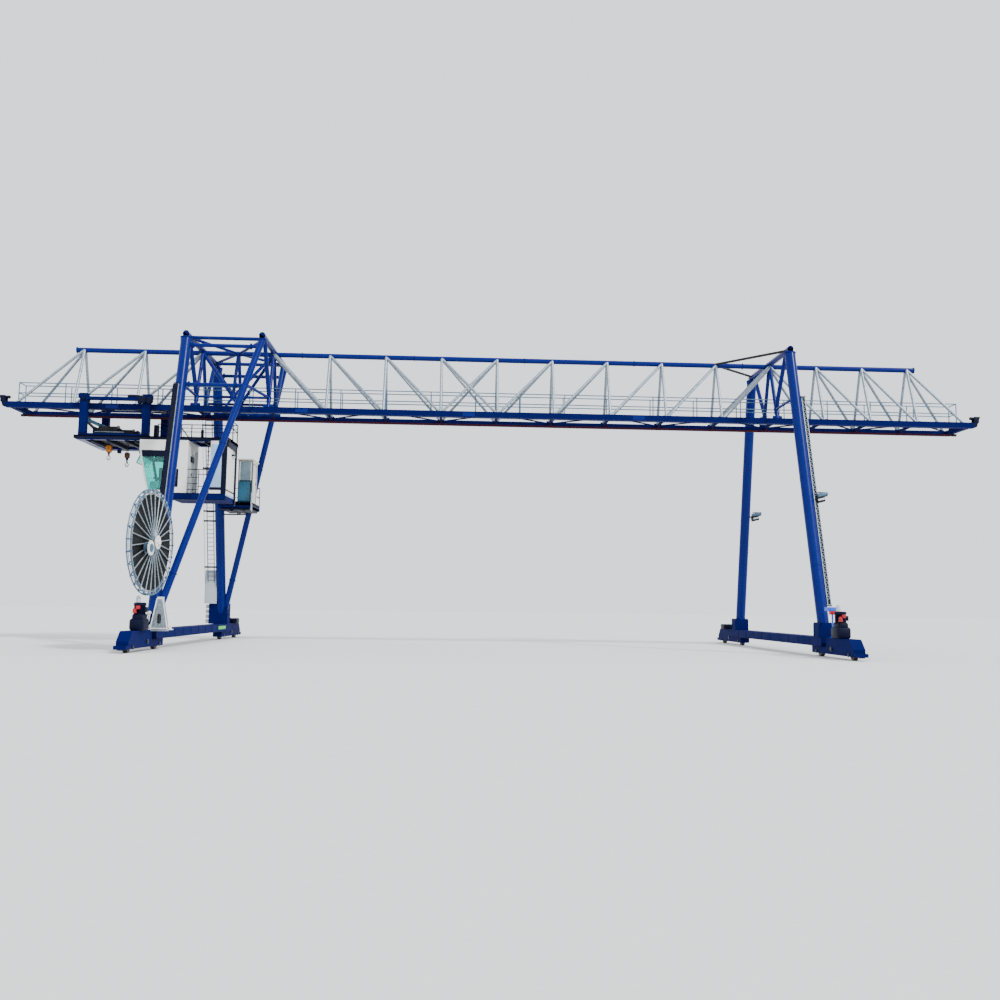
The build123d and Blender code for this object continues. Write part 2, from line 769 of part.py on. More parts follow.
# Ladder up the outer side of the far left leg, on brackets
with BuildPart() as left_ladder:
    ladder_line = leg_lines["left", "far"]
    ladder_low_z = sill_top_z + far_block_height
    rungs = int((ladder_top_z - ladder_low_z) / ladder_pitch)
    ladder_xs = (left_leg_x - ladder_from_leg - ladder_width, left_leg_x - ladder_from_leg)
    low_y, high_y = (along_leg(ladder_line, z)[1] for z in (ladder_low_z, ladder_top_z))
    for x in ladder_xs:
        bar((x, low_y, ladder_low_z), (x, high_y, ladder_top_z), ladder_stile, 4)
    for number in range(1, rungs):
        z = ladder_low_z + number * ladder_pitch
        y = along_leg(ladder_line, z)[1]
        bar((ladder_xs[0], y, z), (ladder_xs[1], y, z), ladder_rung, 4)
        if number % ladder_bracket_every == 2:
            bar((ladder_xs[0], y, z + ladder_pitch / 2), (left_leg_x, y, z + ladder_pitch / 2), ladder_stile, 4)
    block(
        (ladder_xs[0] - ladder_stile, ladder_xs[1] + ladder_stile),
        (0, 2 * foot_half_spread),
        (sill_top_z, ladder_low_z),
        mode=Mode.SUBTRACT,
    )
    for leg in left_uprights:
        add(leg.part, mode=Mode.SUBTRACT)
finish(left_ladder, "left_ladder")

# Trolley: side frames that hang on the chords' rails, outside the girder
side_inner = rail_y + rail_width / 2 + side_gap
post_xs = (trolley_left_post_x, trolley_left_post_x + trolley_wheelbase)
trolley_wheel_z = chord_top_z + rail_height + trolley_wheel_radius + running_gap
for side, sign in (("near", -1), ("far", 1)):
    y_span = (sign * side_inner, sign * (side_inner + post_depth))
    with BuildPart() as trolley_side:
        for x, out in zip(post_xs, (-1, 1)):
            block((x - post_width / 2, x + post_width / 2), y_span, (deck_top_z, post_top_z))
            box_x = (x, x + out * (post_width / 2 + wheel_box_overhang))
            block(box_x, y_span, (post_top_z - wheel_box_height, post_top_z))
        block(post_xs, y_span, (top_rail_z, top_rail_z + top_rail_depth))
        block(post_xs, y_span, (deck_top_z, deck_top_z + side_rail_depth))
    finish(trolley_side, f"trolley_side_{side}")

with BuildPart() as trolley_wheels:
    for sign in (-1, 1):
        for x in post_xs:
            disc((x, sign * rail_y, trolley_wheel_z), (0, 1, 0), trolley_wheel_radius, trolley_wheel_width, 16)
            axle_y = sign * (rail_y + side_inner) / 2
            disc((x, axle_y, trolley_wheel_z), (0, 1, 0), trolley_axle_radius, side_inner - rail_y, 8)
finish(trolley_wheels, "trolley_wheels")

# The trolley's deck on its underframe, with slots for the ropes
rope_slots = (main_hook_x, aux_hook_x)
frame_top = deck_top_z - trolley_deck_thickness
with BuildPart() as trolley_deck:
    block((deck_left_x, deck_far_right_x), (-deck_half_width, deck_half_width), (frame_top, deck_top_z))
    block((deck_far_right_x, deck_right_x), (-deck_half_width, deck_far_y), (frame_top, deck_top_z))
    for x in rope_slots:
        half = rope_half_gap + rope_width + rope_slot_margin
        block(
            (x - rope_width - rope_slot_margin, x + rope_width + rope_slot_margin),
            (-half, half),
            (frame_top, deck_top_z),
            mode=Mode.SUBTRACT,
        )
finish(trolley_deck, "trolley_deck")

with BuildPart() as trolley_frame:
    frame_outer = side_inner + post_depth
    frame_z = (frame_top - frame_depth, frame_top)
    block((deck_left_x, deck_right_x), (-frame_outer, frame_width - frame_outer), frame_z)
    block((deck_left_x, deck_far_right_x), (frame_outer - frame_width, frame_outer), frame_z)
    block((deck_far_right_x - frame_width, deck_right_x), (deck_far_y - frame_width, deck_far_y), frame_z)
    for x in (deck_left_x + frame_width / 2, *post_xs):
        block((x - frame_width / 2, x + frame_width / 2), (-frame_outer, frame_outer), frame_z)
    for x in (cab_right_x, deck_right_x - frame_width / 2):
        block((x - frame_width / 2, x + frame_width / 2), (-frame_outer, deck_far_y), frame_z)
finish(trolley_frame, "trolley_frame")

# Winches on the deck, with their drums along the girder
drums = (
    (main_drum_x, main_drum_z, main_drum_radius),
    (aux_drum_x, aux_drum_z, aux_drum_radius),
)
drum_near_y = rope_half_gap + rope_width / 2 * math.cos(math.pi / 6) + running_gap
with BuildPart() as winch_drums:
    for span, z, radius in drums:
        y = drum_near_y + radius
        disc((sum(span) / 2, y, z), (1, 0, 0), radius, span[1] - span[0], 16)
        for x in (span[0] + drum_flange / 2, span[1] - drum_flange / 2):
            disc((x, y, z), (1, 0, 0), radius + drum_flange, drum_flange, 16)
finish(winch_drums, "winch_drums")

with BuildPart() as winch_stands:
    for span, z, radius in drums:
        y = drum_near_y + radius
        for x_span in ((span[0] - bearing_width, span[0]), (span[1], span[1] + bearing_width)):
            block(x_span, (y - radius, y + radius), (deck_top_z, z + radius / 2))
    motor_z = deck_top_z + winch_motor_radius
    disc((sum(winch_motor_x) / 2, y, motor_z), (1, 0, 0), winch_motor_radius, winch_motor_x[1] - winch_motor_x[0], 12)
finish(winch_stands, "winch_stands")


def rope_falls(x, low_z, high_z):
    """Two rope falls from the drum's side down to a hook block."""
    for y in (-rope_half_gap, rope_half_gap):
        bar((x, y, low_z), (x, y, high_z), rope_width, 6)


def hook_profile(x, top_z, drop, radius):
    """A lifting hook with its nut and shank, standing in the plane along the girder."""
    centre_z = top_z - drop
    with BuildSketch(Plane.XZ.offset(-hook_thickness / 2)) as profile:
        with Locations((x, centre_z)):
            RegularPolygon(radius * 1.8, 20)
            RegularPolygon(radius, 16, mode=Mode.SUBTRACT)
        with Locations((x - 1.4 * radius, centre_z + 0.9 * radius)):
            Rectangle(1.8 * radius, 1.3 * radius, mode=Mode.SUBTRACT)
        shank = drop - 1.4 * radius
        with Locations((x, top_z - shank / 2)):
            Rectangle(radius, shank)
        with Locations((x, top_z - drop / 6)):
            Rectangle(2.2 * radius, drop / 3)
    extrude(profile.sketch, amount=hook_thickness)


hook_sizes = {
    "main": (main_hook_x, main_block_width, main_block_height, main_block_thickness, main_hook_radius),
    "aux": (aux_hook_x, aux_block_width, aux_block_height, aux_block_thickness, aux_hook_radius),
}
hook_heights = {
    "main": (main_block_top_z, main_drum_z, main_hook_drop),
    "aux": (aux_block_top_z, aux_drum_z, aux_hook_drop),
}
for name, (x, width, height, thickness, radius) in hook_sizes.items():
    top_z, drum_z, drop = hook_heights[name]
    with BuildPart() as ropes:
        rope_falls(x, top_z, drum_z)
    finish(ropes, f"{name}_ropes")
    with BuildPart() as hook_block:
        with BuildSketch(Plane.XZ.offset(-thickness / 2)):
            with Locations((x, top_z - height / 2)):
                RectangleRounded(width, height, width / 4)
        extrude(amount=thickness)
    finish(hook_block, f"{name}_hook_block")
    with BuildPart() as hook:
        hook_profile(x, top_z - height, drop, radius)
    finish(hook, f"{name}_hook")

# Operator's cab, a shell under the deck with a glazed front that leans in
cab_top_z = frame_top - frame_depth
cab_profile = [
    (cab_left_x, cab_top_z),
    (cab_left_x, cab_top_z - cab_band_height),
    (cab_left_x + cab_lean, floor_z),
    (cab_right_x, floor_z),
    (cab_right_x, cab_top_z),
]
band_z = cab_top_z - cab_band_height


def cab_front(z):
    """Where the leaning front of the cab is at one height."""
    return cab_left_x + cab_lean * (band_z - z) / (band_z - floor_z)


cab_window_z = (floor_z + cab_sill_height, band_z)
cab_side_window = [
    (cab_front(cab_window_z[0]) + cab_mullion, cab_window_z[0]),
    (cab_window_right_x, cab_window_z[0]),
    (cab_window_right_x, cab_window_z[1]),
    (cab_front(cab_window_z[1]) + cab_mullion, cab_window_z[1]),
]
cab_front_x = (cab_left_x, cab_left_x + cab_lean + 2 * cab_wall)
cab_front_y = (cab_near_y + cab_mullion, cab_far_y - cab_mullion)
cab_door_mid = (cab_near_y + cab_far_y) / 2
cab_door_y = (cab_door_mid - cab_door_width / 2, cab_door_mid + cab_door_width / 2)
cab_door_z = (floor_z + cab_wall, floor_z + cab_wall + cab_door_height)

with BuildPart() as cab_shell:
    with BuildSketch(Plane.XZ.offset(-cab_far_y)) as outline:
        with BuildLine():
            Polyline(*cab_profile, close=True)
        make_face()
    extrude(amount=cab_far_y - cab_near_y)
    with BuildSketch(Plane.XZ.offset(-cab_far_y + cab_wall)) as inside:
        with BuildLine():
            Polyline(*cab_profile, close=True)
        make_face()
        offset(amount=-cab_wall, mode=Mode.REPLACE)
    extrude(amount=cab_far_y - cab_near_y - 2 * cab_wall, mode=Mode.SUBTRACT)
    with BuildSketch(Plane.XZ.offset(-cab_far_y)) as side_window:
        with BuildLine():
            Polyline(*cab_side_window, close=True)
        make_face()
    extrude(side_window.sketch, amount=cab_far_y - cab_near_y, mode=Mode.SUBTRACT)
    block(cab_front_x, cab_front_y, cab_window_z, mode=Mode.SUBTRACT)
    block((cab_right_x - cab_wall, cab_right_x), cab_door_y, cab_door_z, mode=Mode.SUBTRACT)
finish(cab_shell, "cab_shell")

with BuildPart() as cab_glass:
    for wall_y in (cab_near_y + cab_wall / 2, cab_far_y - cab_wall / 2):
        with BuildSketch(Plane.XZ.offset(-wall_y - glass_thickness / 2)) as pane:
            with BuildLine():
                Polyline(*cab_side_window, close=True)
            make_face()
        extrude(pane.sketch, amount=glass_thickness)
    with BuildSketch(Plane.XZ.offset(-cab_front_y[1])) as front:
        with BuildLine():
            Polyline(
                (cab_front(cab_window_z[0]) + glass_thickness, cab_window_z[0]),
                (cab_front(cab_window_z[0]) + 2 * glass_thickness, cab_window_z[0]),
                (cab_front(cab_window_z[1]) + 2 * glass_thickness, cab_window_z[1]),
                (cab_front(cab_window_z[1]) + glass_thickness, cab_window_z[1]),
                close=True,
            )
        make_face()
    extrude(front.sketch, amount=cab_front_y[1] - cab_front_y[0])
finish(cab_glass, "cab_glass")

# Platform behind the cab, and the electrical house at its end
with BuildPart() as cab_platform:
    block((floor_left_x, floor_right_x), (cab_near_y, cab_far_y), (floor_z - floor_depth, floor_z))
finish(cab_platform, "cab_platform")

with BuildPart() as electrical_house:
    block((house_left_x, floor_right_x), (cab_near_y, cab_far_y), (floor_z, cab_top_z))
finish(electrical_house, "electrical_house")
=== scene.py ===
# %% [markdown]
# # A truss gantry crane, dressed in Blender
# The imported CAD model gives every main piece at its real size, in metres, with X along the girder,
# Y across it and Z up. This script adds finishes, round tubes, railings, machinery, a camera and
# light. The crane is a 1:2 scale model, so a railing that is 1.1 m high in the yard is 0.6 m here.

# %% Load the frame
import json
import math

import bmesh
import bpy
from mathutils import Matrix, Vector


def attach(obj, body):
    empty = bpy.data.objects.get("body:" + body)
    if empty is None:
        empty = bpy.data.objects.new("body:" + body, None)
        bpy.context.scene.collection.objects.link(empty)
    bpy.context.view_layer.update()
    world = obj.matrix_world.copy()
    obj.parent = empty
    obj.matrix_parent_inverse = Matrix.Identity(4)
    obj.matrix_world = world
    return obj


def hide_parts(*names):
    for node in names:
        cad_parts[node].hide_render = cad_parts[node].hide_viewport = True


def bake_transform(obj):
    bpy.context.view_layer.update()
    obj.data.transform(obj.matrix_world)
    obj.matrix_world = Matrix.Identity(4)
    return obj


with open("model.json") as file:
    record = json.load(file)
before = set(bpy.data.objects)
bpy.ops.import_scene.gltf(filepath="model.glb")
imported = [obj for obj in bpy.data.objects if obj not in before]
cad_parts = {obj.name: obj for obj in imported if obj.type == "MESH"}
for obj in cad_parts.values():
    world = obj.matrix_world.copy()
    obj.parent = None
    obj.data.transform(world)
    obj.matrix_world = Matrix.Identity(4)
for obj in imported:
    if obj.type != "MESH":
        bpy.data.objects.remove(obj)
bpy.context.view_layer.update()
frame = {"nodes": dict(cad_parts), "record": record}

# %% [markdown]
# ## The crane's main lines
# A lattice girder is drawn from its node lines: every panel point on the top chord and the two
# bottom chords. Keeping those few numbers in one place means that each tube, plate and bolt can be
# put where the steelwork is, and nothing has to be moved by eye later.

# %% Node lines of the girder
PANEL = 1.5
MID_NODE = -0.09
LEG_BAY = 1.875
FIRST_NODE = MID_NODE - 4 * PANEL
LAST_NODE = MID_NODE + 5 * PANEL
LEG_NODE = FIRST_NODE - LEG_BAY
SUPPORT_NODES = (LEG_NODE, FIRST_NODE, LAST_NODE)
MID_BAY = (LEG_NODE + FIRST_NODE) / 2
NODE_XS = [LEG_NODE - 3.105, LEG_NODE - 1.51, LEG_NODE]
NODE_XS += [FIRST_NODE + PANEL * n for n in range(10)]
NODE_XS += [LAST_NODE + 1.276 * n for n in (1, 2, 3)]
TOP_CHORD_Z = 7.7
TOP_CHORD_RADIUS = 0.067
CHORD_TOP = 6.125
CHORD_LOW = 5.995
CHORD_OUT = 0.69
RAIL_Y = 0.652
END_FOOT = 12.545
BAY_Z = 6.418
WALKWAY_TOP = 6.143
BOTH = (-1, 1)
SIDES = (("near", -1), ("far", 1))
print(len(NODE_XS), "nodes from", round(NODE_XS[0], 3), "to", round(NODE_XS[-1], 3))


def web_at(x, sign, z):
    """A place on the sloping side of the girder, from its height."""
    share = (TOP_CHORD_Z - z) / (TOP_CHORD_Z - (CHORD_TOP - 0.0325))
    return Vector((x, sign * (0.035 + share * 0.553), z))


def web_top(x, sign):
    return web_at(x, sign, TOP_CHORD_Z)


def web_foot(x, sign):
    return web_at(x, sign, CHORD_TOP - 0.0325)


# %% Lines of the legs
FOOT_Y, HEAD_Y = 3.387, 1.615
SILL_TOP, LEG_TOP = 0.45, 7.69
LEFT_FOOT_X, LEFT_TOP_X = -7.953, -7.98
RIGHT_FOOT_X, RIGHT_TOP_X = 7.49, 7.411
FEET = (LEFT_FOOT_X, RIGHT_FOOT_X)
BEAM_Z, BEAM_HALF = 7.77, 1.69
CORNER_Y, STRUT_Z = 1.36, 7.75
LEG_LINES = {
    "left": (LEFT_FOOT_X, LEFT_TOP_X, 0.134),
    "brace": (LEFT_FOOT_X, FIRST_NODE, 0.0825),
    "right": (RIGHT_FOOT_X, RIGHT_TOP_X, 0.134),
}


def leg_at(kind, sign, z):
    """A place on a leg's centre line, from its height."""
    foot_x, top_x, _ = LEG_LINES[kind]
    share = (z - SILL_TOP) / (LEG_TOP - SILL_TOP)
    return Vector((foot_x + share * (top_x - foot_x), sign * (FOOT_Y + share * (HEAD_Y - FOOT_Y)), z))


# %% [markdown]
# ## Shaping helpers
# Steelwork is mostly tubes, plates and rings. Each helper starts from a bmesh primitive, or sweeps
# a circle with the extrude operator, so a whole railing can be one mesh with tidy faces.

# %% Helpers for tubes, blocks and rings
BMVert, BMEdge = bmesh.types.BMVert, bmesh.types.BMEdge


def picked(parts, kind):
    """The vertices or the edges among an operator's results."""
    return [part for part in parts if isinstance(part, kind)]


def edges_of(verts):
    """Every edge that meets one of some vertices."""
    return list({e for v in verts for e in v.link_edges})


def turn_to(axis):
    """A rotation that brings Z onto an axis."""
    return Vector((0, 0, 1)).rotation_difference(Vector(axis).normalized()).to_matrix().to_4x4()


def add_tube(bm, start, end, radius, sides=12, end_radius=None):
    """A closed round bar between two places; with an end radius it tapers."""
    start, end = Vector(start), Vector(end)
    run = end - start
    place = Matrix.Translation((start + end) / 2) @ turn_to(run)
    tip = radius if end_radius is None else end_radius
    bmesh.ops.create_cone(
        bm, cap_ends=True, segments=sides, radius1=radius, radius2=tip, depth=run.length, matrix=place
    )


def add_block(bm, low, high, bevel=0.0, turn=None):
    """A box between two corners, with its edges rounded if a bevel is given."""
    size = Matrix.Diagonal((*[abs(b - a) for a, b in zip(low, high)], 1))
    place = Matrix.Translation((Vector(low) + Vector(high)) / 2) @ (turn or Matrix()) @ size
    made = bmesh.ops.create_cube(bm, size=1, matrix=place)["verts"]
    if bevel:
        bmesh.ops.bevel(
            bm, geom=edges_of(made), offset=bevel, segments=2, profile=0.5, affect="EDGES", material=-1
        )


def add_rows(bm, tubes=(), blocks=()):
    """Tubes and blocks from tables: a row holds x, y, z of both ends, then what is left to say."""
    for row in tubes:
        add_tube(bm, row[:3], row[3:6], *row[6:])
    for row in blocks:
        add_block(bm, row[:3], row[3:6], *row[6:])


def around(centre, radius, angles, side):
    """Places on an upright circle; side is the level direction in its plane."""
    centre, side = Vector(centre), Vector(side)
    return [centre + side * (radius * math.cos(a)) + Vector((0, 0, radius * math.sin(a))) for a in angles]


def add_bolts(bm, places, axis, size):
    """Hexagon heads that stand on a face."""
    for place in places:
        add_tube(bm, place, Vector(place) + Vector(axis).normalized() * size * 0.8, size, 6)


def spin_round(bm, geom, centre, axis, steps):
    """One full turn about an axis, closed where it ends."""
    turn = {"cent": centre, "axis": axis, "angle": math.tau, "steps": steps}
    bmesh.ops.spin(bm, geom=geom, use_merge=True, **turn)


def add_ring(bm, centre, axis, radius, tube, steps, sides):
    """A round hoop: a small circle spun once about an axis."""
    axis = Vector(axis).normalized()
    side = axis.orthogonal().normalized()
    place = Matrix.Translation(Vector(centre) + side * radius) @ turn_to(axis.cross(side))
    made = bmesh.ops.create_circle(bm, cap_ends=False, segments=sides, radius=tube, matrix=place)["verts"]
    spin_round(bm, made + edges_of(made), centre, axis, steps)


def add_turned(bm, profile, centre, axis, steps):
    """A turned piece: a profile of (radius, distance along the axis) spun into a solid."""
    axis = Vector(axis).normalized()
    side = axis.orthogonal().normalized()
    places = [Vector(centre) + side * radius + axis * along for radius, along in profile]
    dots = [bmesh.ops.create_vert(bm, co=place)["vert"][0] for place in places]
    edges = [bm.edges.new(pair) for pair in zip(dots, dots[1:])]
    spin_round(bm, dots + edges, centre, axis, steps)


def spaced(start, pitch, count):
    """Evenly spaced numbers."""
    return [start + pitch * n for n in range(count)]


def mirrored(half):
    """A turned profile with two equal halves, from one of them."""
    return [(radius, -along) for radius, along in half] + half[::-1]


def fins(start, count, pitch, low, high):
    """The zigzag part of a turned profile that has cooling fins between two radii."""
    return [(radius, along) for along in spaced(start, pitch, count) for radius in (low, high)]


def add_sweep(bm, places, radius, sides):
    """A cable or bent pipe: a circle extruded from place to place."""
    places = [Vector(p) for p in places]
    runs = [(b - a).normalized() for a, b in zip(places, places[1:])]
    start = Matrix.Translation(places[0]) @ turn_to(runs[0])
    ring = bmesh.ops.create_circle(bm, cap_ends=True, segments=sides, radius=radius, matrix=start)
    edges = edges_of(ring["verts"])
    heading = runs[0]
    for number, place in enumerate(places[1:], 1):
        bend = runs[min(number, len(runs) - 1)] + runs[number - 1]
        made = bmesh.ops.extrude_edge_only(bm, edges=edges)["geom"]
        ring, edges = picked(made, BMVert), picked(made, BMEdge)
        turn = heading.rotation_difference(bend.normalized()).to_matrix().to_4x4()
        middle = sum((v.co for v in ring), Vector()) / len(ring)
        move = Matrix.Translation(place) @ turn @ Matrix.Translation(-middle)
        bmesh.ops.transform(bm, verts=ring, matrix=move)
        heading = bend.normalized()
    bmesh.ops.contextual_create(bm, geom=edges)


# %% [markdown]
# ## Keeping a piece
# Every finished piece sits at the origin with its place in its mesh, takes one finish, and rides on
# the body that carries it. One function does this, so that no piece is ever left behind when the
# trolley runs or a hook goes down.

# %% One function keeps a piece, another makes it from tables
counts = {}
SMOOTH_BELOW = math.radians(40)


def keep(name, bm, body, finish, instead_of=()):
    """Turns a bmesh into an object of the crane and hangs it on its body."""
    bmesh.ops.remove_doubles(bm, verts=bm.verts, dist=1e-6)
    bmesh.ops.recalc_face_normals(bm, faces=bm.faces)
    mesh = bpy.data.meshes.new(name)
    bm.to_mesh(mesh)
    bm.free()
    mesh.materials.append(finishes[finish])
    mesh.shade_smooth()
    mesh.set_sharp_from_angle(angle=SMOOTH_BELOW)
    made = bpy.data.objects.new(name, mesh)
    bpy.context.scene.collection.objects.link(made)
    if body:
        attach(made, body)
    if instead_of:
        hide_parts(*instead_of)
    counts[name] = sum(len(p.vertices) - 2 for p in mesh.polygons)
    print(f"{name}: {counts[name]} triangles in {finish}")
    return made


def make(name, body, finish, tubes=(), blocks=(), turned=(), sweeps=(), instead_of=()):
    """A piece of tubes, blocks, turned parts and bent pipes, from tables of their numbers."""
    bm = bmesh.new()
    add_rows(bm, tubes, blocks)
    for row in turned:
        add_turned(bm, *row)
    for row in sweeps:
        add_sweep(bm, *row)
    keep(name, bm, body, finish, instead_of)


# %% [markdown]
# ## Finishes
# Each finish starts from what the real surface is: gloss alkyd paint on rolled steel, hot-dip
# zinc with its spangle, white polyester-coated sheet, tinted laminated glass, moulded rubber. Dirt
# and rain streaks are drawn with noise in Object coordinates, which are metres on this model, so a
# patch of dust stays the same size from piece to piece.

# %% Colours and nodes
def colour(text):
    """An sRGB hex value as linear red, green, blue and alpha."""
    shares = [int(text[i : i + 2], 16) / 255 for i in (1, 3, 5)]
    return (*[s / 12.92 if s <= 0.04045 else ((s + 0.055) / 1.055) ** 2.4 for s in shares], 1)


def add_node(tree, kind, inputs=None, **settings):
    """One node, with its settings and with values or links on its inputs."""
    new = tree.nodes.new(kind)
    for key, value in settings.items():
        setattr(new, key, value)
    for socket, value in (inputs or {}).items():
        if isinstance(value, bpy.types.NodeSocket):
            tree.links.new(value, new.inputs[socket])
        else:
            new.inputs[socket].default_value = value
    return new


def start_finish(name, **sockets):
    """A new material with its Principled shader set, and Object coordinates ready to use."""
    made = bpy.data.materials.new(name)
    made.use_nodes = True
    tree = made.node_tree
    shader = tree.nodes["Principled BSDF"]
    for socket, value in sockets.items():
        shader.inputs[socket.replace("_", " ").title().replace("Ior", "IOR")].default_value = value
    place = add_node(tree, "ShaderNodeTexCoord").outputs["Object"]
    return made, tree, shader, place


# %% Painted steel, sheet and rubber
def weathered(
    name, base, dust, dust_share, roughness, spread_mm=600, metallic=0.0, grain=0.0, shine=0.5
):
    """Paint or metal with broad dusty patches; a grain above 0 adds an orange-peel bump."""
    made, tree, shader, place = start_finish(name, roughness=roughness, metallic=metallic)
    shader.inputs["Specular IOR Level"].default_value = shine
    scale = 1000 / spread_mm
    broad = add_node(tree, "ShaderNodeTexNoise", {"Vector": place, "Scale": scale, "Detail": 5.0})
    fine = add_node(tree, "ShaderNodeTexNoise", {"Vector": place, "Scale": scale * 9, "Detail": 3.0})
    pair = {0: broad.outputs["Fac"], 1: fine.outputs["Fac"]}
    both = add_node(tree, "ShaderNodeMath", pair, operation="MULTIPLY").outputs[0]
    cover = {"From Min": 0.18, "From Max": 0.45, "To Min": 0.0, "To Max": dust_share}
    amount = add_node(tree, "ShaderNodeMapRange", {"Value": both, **cover})
    paints = {"Factor": amount.outputs[0], "A": colour(base), "B": colour(dust)}
    blend = add_node(tree, "ShaderNodeMix", paints, data_type="RGBA")
    tree.links.new(blend.outputs["Result"], shader.inputs["Base Color"])
    dulled = min(1, roughness + 0.2)
    matt = {"From Min": 0.15, "From Max": 0.5, "To Min": roughness, "To Max": dulled}
    dull = add_node(tree, "ShaderNodeMapRange", {"Value": both, **matt})
    tree.links.new(dull.outputs[0], shader.inputs["Roughness"])
    if grain:
        peel = add_node(tree, "ShaderNodeTexNoise", {"Vector": place, "Scale": 1000 / 14, "Detail": 2.0})
        raised = {"Height": peel.outputs["Fac"], "Strength": grain, "Distance": 0.002}
        bump = add_node(tree, "ShaderNodeBump", raised)
        tree.links.new(bump.outputs["Normal"], shader.inputs["Normal"])
    return made


finishes = {
    # Royal blue gloss paint on the structure: saturated, with soft highlights and a little dust
    "blue_paint": weathered(
        "royal blue gloss paint", "#001262", "#062C7C", 0.2, 0.24, grain=0.04, shine=0.12
    ),
    # The same paint, dull with yard dust low down on sills, bogies and foot blocks; its darker base is
    # painted shade, so it also goes on the bottom chords, platform, landing and trolley sides
    "dusty_shaded_blue": weathered("dusty and shaded royal blue paint", "#000848", "#0C2150", 0.3, 0.6, shine=0.04),
    # The same paint darker, as navy on drives and machinery; on the trolley's floor the darkness is also
    # painted shade
    "dark_blue_paint": weathered(
        "navy machine paint and painted shade", "#010520", "#081330", 0.25, 0.45, grain=0.04, shine=0.12
    ),
    # Cream-white polyester coating on folded sheet: even, with grey rain marks
    "white_panel": weathered("white coated sheet", "#E2E3DC", "#A9ABA3", 0.35, 0.45, spread_mm=450),
    # Moulded black rubber and cable sheath
    "black_rubber": weathered("black cable sheath", "#07090A", "#1E2224", 0.3, 0.62, shine=0.25),
    # Steel rope and machine parts under a film of grease
    "dark_steel": weathered("greased steel", "#101316", "#2C2B29", 0.3, 0.45, metallic=0.4),
    # Cast wheels with a worn tread
    "wheel_steel": weathered("worn cast steel", "#4B4A48", "#6B5745", 0.5, 0.5, metallic=0.8, grain=0.3),
    # Dark red insulation of the conductor rail
    "red_insulation": weathered("dark red insulation", "#40041A", "#220C14", 0.3, 0.5, shine=0.2),
    # Orange paint on the main hook block, worn and dusty
    "orange_paint": weathered("orange hook-block paint", "#D57A12", "#8A5526", 0.45, 0.45, spread_mm=160),
    # Brown-black paint with rust on the auxiliary block
    "brown_paint": weathered("rusty dark paint", "#3A2417", "#7A3E1E", 0.6, 0.6, spread_mm=120, grain=0.3),
    # Forged hooks, bare and worn
    "hook_steel": weathered("forged hook steel", "#74777A", "#46423E", 0.5, 0.42, metallic=0.8),
    # The small hook keeps its black paint
    "dark_hook_steel": weathered("black painted hook", "#08090A", "#24211F", 0.4, 0.45, shine=0.2),
}


# %% Hot-dip zinc with its spangle
def zinc(name, light, dark):
    """Zinc crystals about 25 mm across show as slightly different greys."""
    made, tree, shader, place = start_finish(name, roughness=0.42, metallic=0.55)
    crystals = add_node(tree, "ShaderNodeTexVoronoi", {"Vector": place, "Scale": 1000 / 25})
    greys = {"Factor": crystals.outputs["Color"], "A": colour(light), "B": colour(dark)}
    shade = add_node(tree, "ShaderNodeMix", greys, data_type="RGBA")
    tree.links.new(shade.outputs["Result"], shader.inputs["Base Color"])
    return made


finishes["galvanised"] = zinc("hot-dip galvanised steel", "#A4AFB8", "#6A7783")
finishes["aged_zinc"] = zinc("aged galvanised steel", "#5E7C96", "#3C5468")

# %% Tinted glass
for key, name, tint, clear in (
    ("glass", "teal laminated glass", "#6EF0E6", 0.95),
    ("grey_glass", "grey window glass", "#9DB6C4", 0.5),
):
    made, tree, shader, place = start_finish(name, roughness=0.05, ior=1.45, transmission_weight=clear)
    streaks = add_node(tree, "ShaderNodeTexNoise", {"Vector": place, "Scale": 1000 / 400, "Detail": 3.0})
    rain = {"From Min": 0.35, "From Max": 0.7, "To Min": 0.01, "To Max": 0.05}
    film = add_node(tree, "ShaderNodeMapRange", {"Value": streaks.outputs["Fac"], **rain})
    tree.links.new(film.outputs[0], shader.inputs["Roughness"])
    shader.inputs["Base Color"].default_value = colour(tint)
    finishes[key] = made


# %% Lamps and small parts
def lens(name, base, dark, roughness, glow=0.0):
    """Moulded glass or plastic with fine ribs across Z; a lamp glows a little."""
    made, tree, shader, place = start_finish(name, roughness=roughness)
    wave = {"Vector": place, "Scale": 1000 / 60, "Distortion": 0.4}
    ribs = add_node(tree, "ShaderNodeTexWave", wave, bands_direction="Z")
    tones = {"Factor": ribs.outputs["Fac"], "A": colour(base), "B": colour(dark)}
    shade = add_node(tree, "ShaderNodeMix", tones, data_type="RGBA")
    tree.links.new(shade.outputs["Result"], shader.inputs["Base Color"])
    if glow:
        shader.inputs["Emission Color"].default_value = colour(base)
        shader.inputs["Emission Strength"].default_value = glow
    return made


finishes["red_lens"] = lens("red lamp lens", "#B40614", "#6E040C", 0.2, glow=0.04)
finishes["lamp_glass"] = lens("floodlight glass", "#E4ECF0", "#BFCBD2", 0.1)
# Small sheets and housings: each a sprayed or moulded colour that has gathered some dust
for key, name, base, dust, roughness in (
    ("lime_paint", "lime marker paint", "#3DB63A", "#6A8A5C", 0.5),
    ("pale_plastic", "light grey plastic", "#B4BCC2", "#8D9293", 0.5),
    # Pale blue sheet; the same colour also paints a lit edge along the platform's end
    ("pale_blue_and_lit_edge", "pale blue coated sheet and painted lit edge", "#8FB3D9", "#7E8FA0", 0.35),
    ("teal_panel", "sea-blue coated sheet", "#1F5E7C", "#3C5A68", 0.4),
    ("azure_sheet", "azure coated sheet", "#0E4FD0", "#3A66A8", 0.4),
    ("floor_paint", "pale studio floor", "#DCDCD9", "#D2D2CF", 0.8),
):
    finishes[key] = weathered(name, base, dust, 0.4, roughness, spread_mm=240)
print(len(finishes), "finishes")

